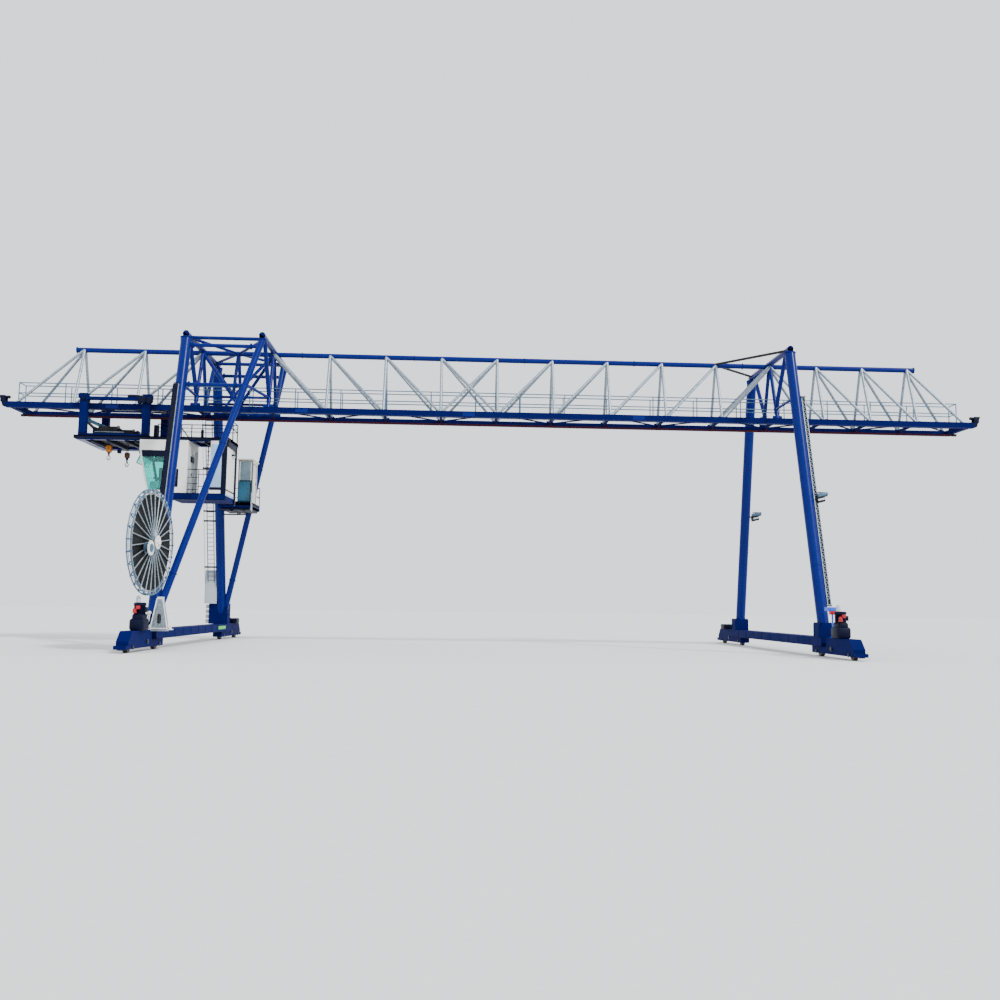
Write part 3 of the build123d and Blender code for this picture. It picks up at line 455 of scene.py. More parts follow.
# %% Dress the CAD pieces
slots = {part["node"]: part["material_slot"] for part in frame["record"]["subparts"]}
# Pieces that take the darker dusty paint; its darkness on them is painted shade
DULL_SHADED_NODES = """left_sill right_sill left_bogies right_bogies foot_blocks cab_platform landing
bottom_bracing bottom_chord_near bottom_chord_far trolley_side_near trolley_side_far""".split()
for node_name, piece in frame["nodes"].items():
    piece.data.materials.clear()
    own = "grey_glass" if node_name == "booth_glass" else slots[node_name]
    piece.data.materials.append(finishes["dusty_shaded_blue" if node_name in DULL_SHADED_NODES else own])

# %% [markdown]
# ## The girder
# The top chord is a round tube, and the sloping sides are thin round tubes with flattened ends on
# gusset plates. They are drawn as round bars between the node lines; the CAD solids have few sides
# and stay hidden behind them.

# %% Top chord with its splices
chord_ends = [NODE_XS[0] - 0.215, NODE_XS[-1] + 0.215]
splices = [(a + b) / 2 for a, b in zip(NODE_XS[3:12:2], NODE_XS[4:13:2])] + chord_ends
rows = [(chord_ends[0], 0, TOP_CHORD_Z, chord_ends[1], 0, TOP_CHORD_Z, TOP_CHORD_RADIUS, 32)]
for x in splices:
    inward = 0.012 if x < 0 else -0.012
    rows.append((x, 0, TOP_CHORD_Z, x + inward, 0, TOP_CHORD_Z, TOP_CHORD_RADIUS + 0.018, 32))
make("top_chord_tube", "gantry", "blue_paint", rows, instead_of=["top_chord"])

# %% Lattice members and gussets
for side, sign in SIDES:
    bm, gussets = bmesh.new(), bmesh.new()
    for number, x in enumerate(NODE_XS):
        if x not in SUPPORT_NODES:
            add_tube(bm, web_top(x, sign), web_foot(x, sign), 0.036)
        steps = [1] if LEG_NODE < x < MID_NODE or x >= LAST_NODE else []
        if x <= LEG_NODE or MID_NODE < x <= LAST_NODE:
            steps.append(-1)
        for step in steps:
            inside = 0 <= number + step < len(NODE_XS)
            foot = web_foot(NODE_XS[number + step] if inside else step * END_FOOT, sign)
            thick = (x, step) in ((FIRST_NODE, 1), (LAST_NODE, -1))
            add_tube(bm, web_top(x, sign), foot, 0.058 if thick else 0.036)
        y = web_at(x, sign, CHORD_TOP - 0.01).y
        wide, tall = (0.13, 0.1) if x in SUPPORT_NODES else (0.09, 0.045)
        low, high = (x - wide, y - 0.006, CHORD_TOP), (x + wide, y + 0.006, CHORD_TOP + tall)
        add_block(gussets, low, high, 0.003)
    keep(f"lattice_{side}", bm, "gantry", "galvanised", [f"girder_web_{side}"])
    keep(f"gusset_plates_{side}", gussets, "gantry", "blue_paint")


# %% The thick blue members over the supports
def add_ball(bm, centre, radius, subdivisions=3):
    """A ball that covers a joint of several tubes."""
    place = Matrix.Translation(centre)
    bmesh.ops.create_icosphere(bm, subdivisions=subdivisions, radius=radius, matrix=place)


bm = bmesh.new()
for sign in BOTH:
    low_mid = web_at(MID_BAY, sign, BAY_Z)
    for x in SUPPORT_NODES:
        add_tube(bm, web_top(x, sign), web_foot(x, sign), 0.048, 20)
        add_tube(bm, web_at(x, sign, BAY_Z), web_at(x, sign, CHORD_TOP + 0.16), 0.06, 20)
    for x in (MID_BAY, LEG_NODE, FIRST_NODE):
        add_tube(bm, web_top(x, sign), low_mid, 0.044, 20)
    for x in (LEG_NODE, FIRST_NODE):
        add_tube(bm, web_at(x, sign, BAY_Z), low_mid, 0.035, 16)
    for step in BOTH:
        add_tube(bm, low_mid, web_foot(MID_BAY + step * 0.19, sign), 0.035, 16)
    add_ball(bm, low_mid, 0.062)
keep("leg_bay_tubes", bm, "gantry", "blue_paint", ["leg_bay_web"])

# %% [markdown]
# ## The supports
# Legs and braces are large welded tubes. A real leg shows where its lengths were joined: a thin
# weld bead, and on the braces a bolted pair of flanges. Small rings give those marks, and without
# them a tube this long looks like plastic.


# %% Legs and braces
def cut_level(bm, z, normal):
    """Takes off what lies past a level plane and closes the cut."""
    geom = bm.verts[:] + bm.edges[:] + bm.faces[:]
    cut = bmesh.ops.bisect_plane(
        bm, geom=geom, plane_co=(0, 0, z), plane_no=(0, 0, normal), clear_outer=True
    )
    bmesh.ops.contextual_create(bm, geom=picked(cut["geom_cut"], BMEdge))


WELDS = ((2.1, 4.3, 6.05), 0.004, 0.005)
FLANGES = ((1.72, 4.9), 0.016, 0.012)
for kind, (_, _, radius) in LEG_LINES.items():
    prefix = "left_brace" if kind == "brace" else f"{kind}_leg"
    ring_zs, reach, half = FLANGES if kind == "brace" else WELDS
    for side, sign in SIDES:
        bm = bmesh.new()
        low, high = leg_at(kind, sign, SILL_TOP - 0.2), leg_at(kind, sign, LEG_TOP + 0.2)
        add_tube(bm, low, high, radius, 48)
        cut_level(bm, SILL_TOP, -1)
        cut_level(bm, LEG_TOP, 1)
        along = (high - low).normalized() * half
        for z in ring_zs:
            middle = leg_at(kind, sign, z)
            add_tube(bm, middle - along, middle + along, radius + reach, 48)
        top = leg_at(kind, sign, LEG_TOP - 0.012)
        add_tube(bm, (top.x, top.y, LEG_TOP - 0.024), (top.x, top.y, LEG_TOP), radius + 0.02, 48)
        for turn in range(4):
            arm = Vector((math.cos(turn * math.pi / 2), math.sin(turn * math.pi / 2), 0))
            rib = top + arm * (radius + 0.004)
            across = Vector((-arm.y, arm.x, 0)) * 0.005
            add_block(bm, rib - across - Vector((0, 0, 0.085)), rib + arm * 0.014 + across)
        keep(f"{prefix}_tube_{side}", bm, "gantry", "blue_paint", [f"{prefix}_{side}"])

# %% Cross beams on their saddles
for name, x in (("left", LEFT_TOP_X), ("brace", FIRST_NODE), ("right", RIGHT_TOP_X)):
    tubes = [(x, -BEAM_HALF, BEAM_Z, x, BEAM_HALF, BEAM_Z, 0.078, 32)]
    saddles = []
    for sign in BOTH:
        end, y = sign * BEAM_HALF, sign * HEAD_Y
        tubes.append((x, end, BEAM_Z, x, end - sign * 0.014, BEAM_Z, 0.081, 32))
        saddles.append((x - 0.075, y - 0.075, LEG_TOP, x + 0.075, y + 0.075, BEAM_Z, 0.006))
    beam = f"{name}_cross_beam"
    make(f"{name}_beam_tube", "gantry", "blue_paint", tubes, saddles, instead_of=[beam])

# %% Struts, braces and hangers of the top frames
bm = bmesh.new()
for sign in BOTH:
    y = sign * CORNER_Y
    add_tube(bm, (LEFT_TOP_X, y, STRUT_Z), (FIRST_NODE, y, STRUT_Z), 0.0475, 20)
    for z, radius in ((7.475, 0.0475), (BAY_Z, 0.045)):
        low, high = leg_at("left", sign, z), leg_at("brace", sign, z)
        add_tube(bm, low, high, radius, 20)
        along = (high - low).normalized()
        for place in (low + along * 0.19, high - along * 0.21):
            for step in BOTH:
                start, end = place + along * step * 0.003, place + along * step * 0.017
                add_tube(bm, start, end, radius + 0.032, 24)
keep("frame_strut_tubes", bm, "gantry", "blue_paint", ["left_frame_struts"])

plan_braces = [
    (x, sign * CORNER_Y, STRUT_Z, MID_BAY, 0, TOP_CHORD_Z, 0.038, 16)
    for sign in BOTH
    for x in (LEFT_TOP_X, FIRST_NODE)
]
make("plan_brace_tubes", "gantry", "blue_paint", plan_braces, instead_of=["left_frame_brace"])

bm = bmesh.new()
for kind, x, node_x in zip(LEG_LINES, (LEFT_TOP_X, FIRST_NODE, RIGHT_TOP_X), SUPPORT_NODES):
    for sign in BOTH:
        low = web_at(node_x, sign, BAY_Z)
        add_tube(bm, (x, sign * CORNER_Y, BEAM_Z), low, 0.055, 20)
        add_tube(bm, low, leg_at(kind, sign, BAY_Z + 0.03), 0.037, 16)
        add_ball(bm, low, 0.066)
keep("hanger_tubes", bm, "gantry", "blue_paint", ["support_hangers"])

stay_x = LAST_NODE - PANEL
stays = [
    (RIGHT_TOP_X, sign * 1.5, BEAM_Z, stay_x, sign * 0.054, TOP_CHORD_Z + 0.027, 0.033, 12)
    for sign in BOTH
]
make("stay_tubes", "gantry", "dark_steel", stays, instead_of=["right_stays"])

# %% [markdown]
# ## Walkway and railings
# The railing is galvanised tube: posts every 1.2 m, a top rail, a middle rail and a low toe board
# that keeps tools from being kicked off. The walkway's open grating is drawn as cross bars.

# %% Railings along the walkway
WALK_START, WALK_END = -12.645, 12.525
RAIL_LINE, RAILING_HEIGHT, RAIL_TUBE, BARS = 0.199, 0.6, 0.0135, 420
floor_z = WALKWAY_TOP
post_count = round((WALK_END - WALK_START) / 1.18)
post_xs = spaced(WALK_START + 0.011, (WALK_END - WALK_START - 0.022) / post_count, post_count + 1)
for side, sign in SIDES:
    y = sign * RAIL_LINE
    rail_zs = (floor_z + 0.322, floor_z + 0.596)
    rails = [(WALK_START, y, z, WALK_END, y, z, RAIL_TUBE, 10) for z in rail_zs]
    if sign < 0:
        for x in (WALK_START + 0.011, WALK_END - 0.011):
            rails += [(x, y, z, x, -y, z, RAIL_TUBE, 10) for z in rail_zs]
    feet = []
    for x in post_xs:
        rails.append((x, y, floor_z, x, y, floor_z + RAILING_HEIGHT, RAIL_TUBE, 10))
        feet.append((x - 0.02, y - 0.011, floor_z, x + 0.02, y + 0.011, floor_z + 0.008))
    board_y = y + sign * 0.006
    feet.append((WALK_START, board_y - 0.003, floor_z, WALK_END, board_y + 0.003, floor_z + 0.05))
    railing = [f"walkway_railing_{side}"]
    make(f"railing_tubes_{side}", "gantry", "aged_zinc", rails, feet, instead_of=railing)

bar_xs = spaced(WALK_START + 0.02, (WALK_END - WALK_START - 0.04) / (BARS - 1), BARS)
bars = [(x - 0.004, -0.185, floor_z, x + 0.004, 0.185, floor_z + 0.006) for x in bar_xs]
make("grating_bars", "gantry", "aged_zinc", blocks=bars)

# %% [markdown]
# ## Rails, splices and stops of the girder
# The trolley hangs from flat rails that are clipped to the outer edges of the bottom chords. Clips
# and bolted splice plates come at a steady pitch, so one loop sets them from the chord's ends. The
# conductor rail under the walkway gets its insulators and the stops get their rubber faces.

# %% Rail clips, splice plates and buffers
CLIPS, CLIP_END = 52, 12.6
clips = []
plates = bmesh.new()
for sign in BOTH:
    for x in spaced(-CLIP_END, 2 * CLIP_END / (CLIPS - 1), CLIPS):
        for y in (sign * RAIL_Y - 0.027, sign * RAIL_Y + 0.027):
            clips.append((x - 0.014, y - 0.005, CHORD_TOP, x + 0.014, y + 0.005, CHORD_TOP + 0.008))
    inner, outer = sign * CHORD_OUT, sign * (CHORD_OUT + 0.008)
    for x in (-10.05, -5.2, -0.85, 3.65, 8.0):
        low, high = (x - 0.16, inner, CHORD_LOW + 0.012), (x + 0.16, outer, CHORD_TOP - 0.012)
        add_block(plates, low, high)
        for z in (6.03, 6.09):
            spots = [(x + dx, outer, z) for dx in (-0.13, -0.08, -0.03, 0.03, 0.08, 0.13)]
            add_bolts(plates, spots, (0, sign, 0), 0.008)
make("rail_clips", "gantry", "dark_steel", blocks=clips)
keep("splice_plates", plates, "gantry", "blue_paint")

rubber = [(0, -0.004), (0.03, -0.004), (0.041, 0.004), (0.043, 0.03), (0.04, 0.05), (0, 0.05)]
buffers = [
    (rubber, (end * 12.665, sign * 0.61, 6.262), (end, 0, 0), 24) for sign in BOTH for end in BOTH
]
make("buffer_rubbers", "gantry", "black_rubber", turned=buffers)

ribbed = [(0, 0), (0.02, 0), (0.012, 0.01), (0.02, 0.02), (0.012, 0.03), (0.02, 0.04), (0, 0.04)]
feet = [(x - 0.016, 0.31, 5.992, x + 0.016, 0.35, 6.008, 0.003) for x in NODE_XS]
insulators = [(ribbed, (x, 0.33, 6.01), (0, 0, 1), 12) for x in NODE_XS]
make("rail_insulators", "gantry", "black_rubber", blocks=feet, turned=insulators)

# %% [markdown]
# ## The trolley
# Four posts hang outside the girder and carry a deck between them. On the deck stand two winches
# with grooved drums. The grooves are one turned profile: a zigzag line spun about the drum's axis
# gives every rope lay at once, which a texture could not do at the silhouette.

# %% Post plates and flanged wheels
POST_XS = (-10.71, -9.127)
DECK_TOP, AXLE_Z = 5.25, 6.2253
bm = bmesh.new()
wheels = []
half = [(0, 0.034), (0.034, 0.034), (0.034, 0.02), (0.055, 0.016), (0.062, 0.026)]
tread = mirrored(half + [(0.088, 0.026), (0.088, 0.022), (0.0795, 0.019)])
axles = []
for sign in BOTH:
    near, far = sign * 0.73, sign * 0.9
    for x in POST_XS:
        plates = [
            (x - 0.11, near, 6.35, x + 0.11, sign * 0.884, 6.362, 0.003),
            (x - 0.125, near, DECK_TOP, x + 0.125, far, DECK_TOP + 0.014, 0.003),
        ]
        for z in (6.165, 5.335):
            plates.append((x - 0.1, sign * 0.868, z - 0.006, x + 0.1, sign * 0.882, z + 0.006))
        add_rows(bm, [(x, sign * 0.872, AXLE_Z, x, far, AXLE_Z, 0.05, 20)], plates)
        spots = [(x + dx, sign * 0.887, DECK_TOP + 0.014) for dx in (-0.1, -0.035, 0.035, 0.1)]
        add_bolts(bm, spots, (0, 0, 1), 0.01)
        spots = around((x, far, AXLE_Z), 0.036, (0.5, 1.8, 3.1, 4.3, 5.6), (1, 0, 0))
        add_bolts(bm, spots, (0, sign, 0), 0.007)
        wheels.append((tread, (x, sign * RAIL_Y, AXLE_Z), (0, 1, 0), 36))
        axles.append((x, sign * 0.66, AXLE_Z, x, sign * 0.742, AXLE_Z, 0.022, 16))
keep("post_plates", bm, "trolley", "dark_blue_paint")
old = ["trolley_wheels"]
make("flanged_wheels", "trolley", "wheel_steel", axles, turned=wheels, instead_of=old)

# %% Travel motor on the near side
brake = [(0, 0), (0.07, 0), (0.082, 0.012), (0.082, 0.03)]
brake += fins(0.03, 9, 0.008, 0.074, 0.084) + [(0.07, 0.115), (0, 0.115)]
motor = [(0, 0), (0.035, 0), (0.05, 0.02)]
motor += fins(0.03, 11, 0.014, 0.045, 0.053) + [(0.05, 0.19), (0.03, 0.21), (0, 0.21)]
make(
    "travel_motor",
    "trolley",
    "dark_blue_paint",
    tubes=[(-9.34, -0.807, 6.31, -9.222, -0.807, 6.31, 0.02, 16)],
    blocks=[
        (-9.325, -0.965, 6.105, -9.13, -0.872, 6.285, 0.02),
        (-9.41, -0.86, 6.278, -9.33, -0.752, 6.345, 0.008),
        (-9.56, -0.85, 6.278, -9.46, -0.762, 6.285),
    ],
    turned=[
        (brake, (-9.03, -0.873, 6.18), (0, -1, 0), 28),
        (motor, (-9.62, -0.807, 6.31), (1, 0, 0), 28),
    ],
)

# %% Winch drums
DRUMS = {"main": (-10.64, -10.15, 5.54, 0.16), "aux": (-10.08, -9.73, 5.5, 0.105)}
LAY, DRUM_FACE_Y = 0.019, 0.0572
drums = []
for left_x, right_x, z, radius in DRUMS.values():
    length, rim, deep, full = right_x - left_x, radius + 0.02, radius - 0.008, radius - 0.001
    profile = [(0, 0), (rim, 0), (rim, 0.018), (deep, 0.02)]
    for number in range(int((length - 0.045) / LAY)):
        along = 0.022 + number * LAY
        profile += [(deep, along), (full, along + LAY * 0.3), (full, along + LAY * 0.7)]
    profile += [(deep, length - 0.02), (rim, length - 0.018), (rim, length), (0, length)]
    drums.append((profile, (left_x, DRUM_FACE_Y + radius, z), (1, 0, 0), 44))
make("winch_drum_lays", "trolley", "dark_steel", turned=drums, instead_of=["winch_drums"])

# %% Bearings, gearboxes and winch motors
bm = bmesh.new()
for left_x, right_x, z, radius in DRUMS.values():
    y = DRUM_FACE_Y + radius
    for x, step in ((left_x, -1), (right_x, 1)):
        outer, reach = x + step * 0.07, radius + 0.02
        add_tube(bm, (x, y, z), (outer, y, z), radius * 0.62, 28)
        angles = (0.4, 1.45, 2.5, 3.55, 4.6, 5.65)
        add_bolts(bm, around((outer, y, z), radius * 0.45, angles, (0, 1, 0)), (step, 0, 0), 0.008)
        low, high = (outer, y - reach, DECK_TOP), (x + step * 0.001, y + reach, DECK_TOP + 0.018)
        add_block(bm, low, high, 0.003)
boxes = [
    (-10.79, 0.07, DECK_TOP, -10.712, 0.4, 5.66, 0.02),
    (-9.66, 0.075, DECK_TOP, -9.59, 0.27, 5.575, 0.015),
    (-9.58, 0.12, 5.39, -9.5, 0.2, 5.44, 0.006),
    (-10.79, 0.4, DECK_TOP, -10.712, 0.64, 5.5, 0.015),
]
for y in spaced(0.1, 0.05, 6):
    boxes.append((-10.795, y, 5.29, -10.79, y + 0.01, 5.6))
boxes += [(x - 0.015, 0.44, DECK_TOP, x + 0.015, 0.6, 5.3) for x in (-10.66, -10.47)]
add_rows(bm, blocks=boxes)
small = [(0, 0), (0.06, 0), (0.078, 0.02)]
small += fins(0.03, 14, 0.012, 0.07, 0.079) + [(0.078, 0.2), (0.05, 0.22), (0, 0.22)]
large = [(0, 0), (0.07, 0), (0.1, 0.02)]
large += fins(0.03, 16, 0.015, 0.09, 0.101) + [(0.1, 0.27), (0.06, 0.3), (0, 0.3)]
add_turned(bm, small, (-9.655, 0.162, 5.33), (1, 0, 0), 28)
add_turned(bm, large, (-10.71, 0.52, 5.38), (1, 0, 0), 28)
keep("winch_machinery", bm, "trolley", "dark_blue_paint")

trough = [
    (-10.56, -0.36, DECK_TOP, -9.84, -0.27, 5.44, 0.006),
    (-9.215, 0.14, DECK_TOP, -9.115, 0.32, 5.75, 0.01),
    (-9.02, 0.18, DECK_TOP, -8.965, 0.26, 5.42, 0.006),
]
make("rope_trough", "trolley", "dark_blue_paint", blocks=trough)
cover = [(-10.57, -0.37, 5.44, -9.83, -0.26, 5.456, 0.003)]
make("trough_cover", "trolley", "galvanised", blocks=cover)

# %% Collector arm that reaches up to the conductor rail
arm = [(-10.55, 0.33, 5.69), (-10.72, 0.33, 5.755), (-11.0, 0.33, 5.872)]
ends = [(-10.6, 0.29, 5.6, -10.5, 0.37, 5.7, 0.006), (-11.06, 0.28, 5.885, -10.95, 0.38, 5.925, 0.006)]
make("collector_arm", "trolley", "teal_panel", blocks=ends, sweeps=[(arm, 0.045, 16)])
links = []
lean = Matrix.Rotation(math.radians(40), 4, "Y")
for share in spaced(0, 1 / 8, 9):
    x, z = -11.02 + 0.3 * share, 5.83 - 0.27 * share
    links.append((x - 0.008, 0.26, z - 0.045, x + 0.008, 0.4, z + 0.02, 0.0, lean))
chains = []
for y in (0.265, 0.395):
    chains.append(([(-11.03, y, 5.8), (-10.72, y, 5.52), (-10.6, y, 5.4), (-10.5, y, 5.26)], 0.009, 8))
make("collector_chain", "trolley", "dark_steel", blocks=links, sweeps=chains)

# %% Deck edges, beams under the deck and railing
EDGE_LOW = 5.165
edges = [
    (-10.845, -1.04, EDGE_LOW, -6.95, -1.028, DECK_TOP),
    (-10.845, 1.028, EDGE_LOW, -8.955, 1.04, DECK_TOP),
    (-10.845, -1.04, EDGE_LOW, -10.833, 1.04, DECK_TOP),
    (-6.962, -1.04, EDGE_LOW, -6.95, 0.06, DECK_TOP),
]
for x in (-10.5, -10.08, -9.62, -9.4, -8.7, -8.3, -7.6, -7.3):
    edges.append((x - 0.03, -0.772, 5.13, x + 0.03, 0.77 if x < -8.9 else -0.04, 5.226, 0.002))
for x in (-10.36, -9.77):
    edges.append((x - 0.045, 0.9, 5.085, x + 0.045, 1.02, EDGE_LOW, 0.01))
make("deck_edges", "trolley", "dark_blue_paint", blocks=edges)

RAIL_Y_BACK, START_X, END_X, TOP_RAIL = 0.03, -9.06, -6.98, 5.753
posts = [(x, RAIL_Y_BACK) for x in (START_X, -8.45, -8.185, -7.9, -7.5, END_X)]
rails = [(x, y, DECK_TOP, x, y, 5.76, 0.013, 10) for x, y in posts + [(END_X, -1.01), (END_X, -0.5)]]
for z, radius in ((5.56, 0.009), (5.66, 0.009), (TOP_RAIL, 0.012)):
    rails.append((START_X, RAIL_Y_BACK, z, END_X, RAIL_Y_BACK, z, radius, 10))
rails += [(END_X, RAIL_Y_BACK, z, END_X, -1.01, z, 0.012, 10) for z in (5.56, TOP_RAIL)]
rails.append((-8.45, RAIL_Y_BACK, 5.66, -8.14, RAIL_Y_BACK, 5.27, 0.014, 10))
switch = [(-7.93, -0.02, DECK_TOP, -7.86, 0.03, 5.62, 0.006)]
make("deck_railing", "trolley", "dark_blue_paint", rails, switch)

# %% [markdown]
# ## The operator's cab
# The cab is a sheet-metal box with a glazed front that leans in at the foot, so that the operator
# can look straight down at the hooks. Its front window stands open. The frames are black rubber
# profiles, and the far corner post is drawn wide and black as painted shade; a pressed-steel seat,
# a header panel and a heater show through the tinted glass.


# %% Cab frames, header and open window
def cab_front(z):
    """Where the leaning front of the cab is, from its height."""
    return -9.18 + 0.225 * (4.89 - z) / 1.08


top_x, foot_x = cab_front(4.88) + 0.022, cab_front(3.89) + 0.022
# The far corner post is drawn thick and black: painted shade, the shadow that falls on that corner
frames = [(top_x, y, 4.88, foot_x, y, 3.89, radius, 4) for y, radius in ((-0.045, 0.036), (-0.998, 0.009))]
for z in (4.884, 3.886):
    frames.append((cab_front(z) + 0.012, -0.99, z, cab_front(z) + 0.012, -0.07, z, 0.012, 4))
frames.append((-8.8, -0.045, 3.89, -8.8, -0.045, 4.88, 0.012, 4))
hinge, outer = (-9.17, 4.775), (-9.255, 4.57)
frames += [(hinge[0], y, hinge[1], outer[0], y, outer[1], 0.011, 8) for y in (-0.985, -0.075)]
frames += [(x, -0.985, z, x, -0.075, z, 0.011, 8) for x, z in (hinge, outer)]
strips = []
for low_y, high_y in ((-1.045, -1.039), (-0.021, -0.015)):
    strips.append((cab_front(3.888) + 0.05, low_y, 3.88, -8.52, high_y, 3.888))
    strips.append((-8.528, low_y, 3.88, -8.52, high_y, 4.89))
make("cab_frames_and_shaded_post", "trolley", "black_rubber", frames, strips)

lean = Matrix.Rotation(math.radians(22.5), 4, "Y")
pane = [(-9.215, -0.98, 4.578, -9.211, -0.08, 4.767, 0.0, lean)]
make("open_window_pane", "trolley", "glass", blocks=pane)

panels = [(cab_front(4.73) + 0.04, y, 4.73, -8.52, y + 0.003, 4.89) for y in (-1.043, -0.02)]
panels.append((cab_front(4.81) + 0.002, -0.998, 4.74, cab_front(4.81) + 0.02, -0.062, 4.888))
panels.append((-8.305, -1.044, 3.96, -8.185, -1.04, 4.42, 0.001))
for z in spaced(3.99, 0.048, 9):
    panels.append((-8.295, -1.049, z, -8.195, -1.043, z + 0.012))
make("cab_header", "trolley", "dark_blue_paint", blocks=panels)

# %% Inside the cab
pedestal = [(0, 0), (0.12, 0), (0.11, 0.02), (0.04, 0.05), (0.035, 0.24), (0, 0.24)]
seat = [
    (-8.93, -0.63, 4.07, -8.7, -0.41, 4.14, 0.02),
    (-8.8, -0.63, 4.12, -8.72, -0.41, 4.5, 0.025),
    (-8.92, -0.69, 4.2, -8.72, -0.63, 4.24, 0.01),
    (-8.92, -0.41, 4.2, -8.72, -0.35, 4.24, 0.01),
    (-9.0, -0.66, 3.85, -8.93, -0.38, 3.93, 0.01),
]
stem = [(pedestal, (-8.78, -0.52, 3.838), (0, 0, 1), 20)]
make("pressed_steel_seat", "trolley", "dark_steel", blocks=seat, turned=stem)

heater = [(-8.9, -0.99, 3.92, -8.66, -0.9, 4.1, 0.008)]
for z in spaced(3.94, 0.025, 6):
    heater.append((-8.89, -1.0, z, -8.67, -0.988, z + 0.01))
make("cab_heater", "trolley", "pale_plastic", blocks=heater)

# %% Rear wall of the cab, platform and its railing
door = [
    (-7.985, -0.69, 3.842, -7.972, -0.37, 4.854, 0.002),
    (-7.965, -1.0, 3.82, -7.957, -0.9, 4.9, 0.002),
    (-7.965, -0.33, 3.82, -7.957, -0.05, 4.95, 0.002),
]
pipes = [(-7.95, y, 3.82, -7.95, y, 5.0, 0.013, 12) for y in (-0.93, -0.2)]
make("cab_door_leaf", "trolley", "pale_plastic", pipes, door)

rails = [(x, -1.025, 3.81, x, -1.025, 4.425, 0.011, 10) for x in (-7.975, -7.676, -7.42)]
rails.append((-7.975, -1.025, 4.42, -7.42, -1.025, 4.42, 0.011, 10))
rails += [(-7.975, -1.025, z, -7.676, -1.025, z, 0.008, 10) for z in (4.215, 4.055, 3.9)]
rails += [(x, -0.05, 3.81, x, -0.05, 5.16, 0.014, 10) for x in (-7.7, -7.5)]
rails += [(-7.95, -0.04, z, -7.42, -0.04, z, 0.01, 10) for z in (4.1, 4.42)]
plates = [
    (-7.965, -0.8, 4.64, -7.945, -0.48, 4.79, 0.004),
    (-7.972, -0.66, 4.3, -7.955, -0.63, 4.36, 0.004),
    (-8.345, -1.046, 3.798, -6.985, -1.04, 3.814),
    (-8.345, -1.046, 3.641, -6.985, -1.03, 3.657),
]
plates += [(x - 0.006, -1.045, 3.65, x + 0.006, -1.038, 3.8) for x in (-8.33, -7.88, -7.44, -7.0)]
make("platform_railing", "trolley", "dark_blue_paint", rails, plates)

# %% Electrical house at the platform's end
posts = [
    (-7.11, -1.048, 3.81, -6.985, -0.99, 5.16, 0.004),
    (-7.4, -1.047, 3.9, -7.1, -1.04, 3.97, 0.002),
    (-6.99, -0.11, 3.6, -6.952, -0.015, 5.2, 0.004),
    (-6.99, -1.03, 5.03, -6.962, -0.02, 5.16, 0.004),
    (-6.99, -1.03, 3.9, -6.98, -0.1, 3.93),
    (-6.985, -0.5, 4.86, -6.93, -0.26, 4.9, 0.006),
]
lamp_stem = [(-6.955, -0.38, 4.9, -6.965, -0.38, 5.04, 0.01, 8)]
make("house_posts", "trolley", "dark_blue_paint", lamp_stem, posts)
sheets = [
    (-7.385, -1.045, 3.975, -7.115, -1.04, 5.08, 0.002),
    # A pale blue strip along the platform's end: a painted lit edge, where light falls on its upper edge
    (-6.99, -1.03, 3.765, -6.982, -0.1, 3.815, 0.002),
]
make("house_sheet_and_lit_edge", "trolley", "pale_blue_and_lit_edge", blocks=sheets)
lamp = [(-6.982, -0.47, 4.845, -6.935, -0.29, 4.862, 0.003)]
make("house_lamp", "trolley", "lamp_glass", blocks=lamp)

# %% [markdown]
# ## The cable reel
# The supply cable is wound on a narrow spoked wheel, one turn over the next. Each rim is a hoop, the
# spokes are thin tubes from the hub to both rims, and the wound cable is one turned profile with a
# bump for every turn. The gear motor and the slip-ring housing stay still on the shaft's end.

# %% Reel rims, spokes and hub
REEL = Vector((-7.79, -4.3, 2.355))
REEL_AXIS = Vector((math.cos(math.radians(-5.5)), math.sin(math.radians(-5.5)), 0))
REEL_ACROSS = Vector((-REEL_AXIS.y, REEL_AXIS.x, 0))
SPOKES = 26


def on_reel(radius, angle, along):
    """A place on the reel, from its radius, angle and distance along the shaft."""
    return around(REEL + REEL_AXIS * along, radius, [angle], REEL_ACROSS)[0]


bm = bmesh.new()
for step in BOTH:
    add_ring(bm, on_reel(0, 0, step * 0.042), REEL_AXIS, 1.146, 0.015, 88, 6)
for angle in spaced(0, math.tau / SPOKES, SPOKES):
    add_tube(bm, on_reel(1.13, angle, -0.042), on_reel(1.13, angle, 0.042), 0.012, 6)
    for along in (-0.048, 0.048):
        add_tube(bm, on_reel(1.1, angle, along), on_reel(1.156, angle, along), 0.02, 6)
keep("reel_rims", bm, "reel", "aged_zinc")

bm = bmesh.new()
for step, first in ((-1, 0), (1, math.pi / SPOKES)):
    add_ring(bm, on_reel(0, 0, step * 0.038), REEL_AXIS, 1.075, 0.008, 88, 6)
    for angle in spaced(first, math.tau / SPOKES, SPOKES):
        start, end = on_reel(0.11, angle, step * 0.075), on_reel(1.14, angle, step * 0.042)
        add_tube(bm, start, end, 0.0135, 8)
    spots = [on_reel(0.115, angle, step * 0.095) for angle in spaced(0, math.pi / 6, 12)]
    add_bolts(bm, spots, REEL_AXIS * step, 0.006)
hub = mirrored([(0.046, 0.095), (0.13, 0.095), (0.13, 0.08), (0.1, 0.078)])
add_turned(bm, hub + hub[:1], REEL, REEL_AXIS, 36)
keep("reel_spokes", bm, "reel", "galvanised", ["reel_wheel"])

# %% Wound cable
half = []
for radius in spaced(0.135, 0.0415, 22):
    half += [(radius, 0.012), (radius + 0.01, 0.021), (radius + 0.031, 0.021), (radius + 0.0405, 0.013)]
winding = mirrored(half)
wound = [(winding + winding[:1], REEL, REEL_AXIS, 64)]
make("wound_cable", "reel", "black_rubber", turned=wound, instead_of=["reel_cable"])

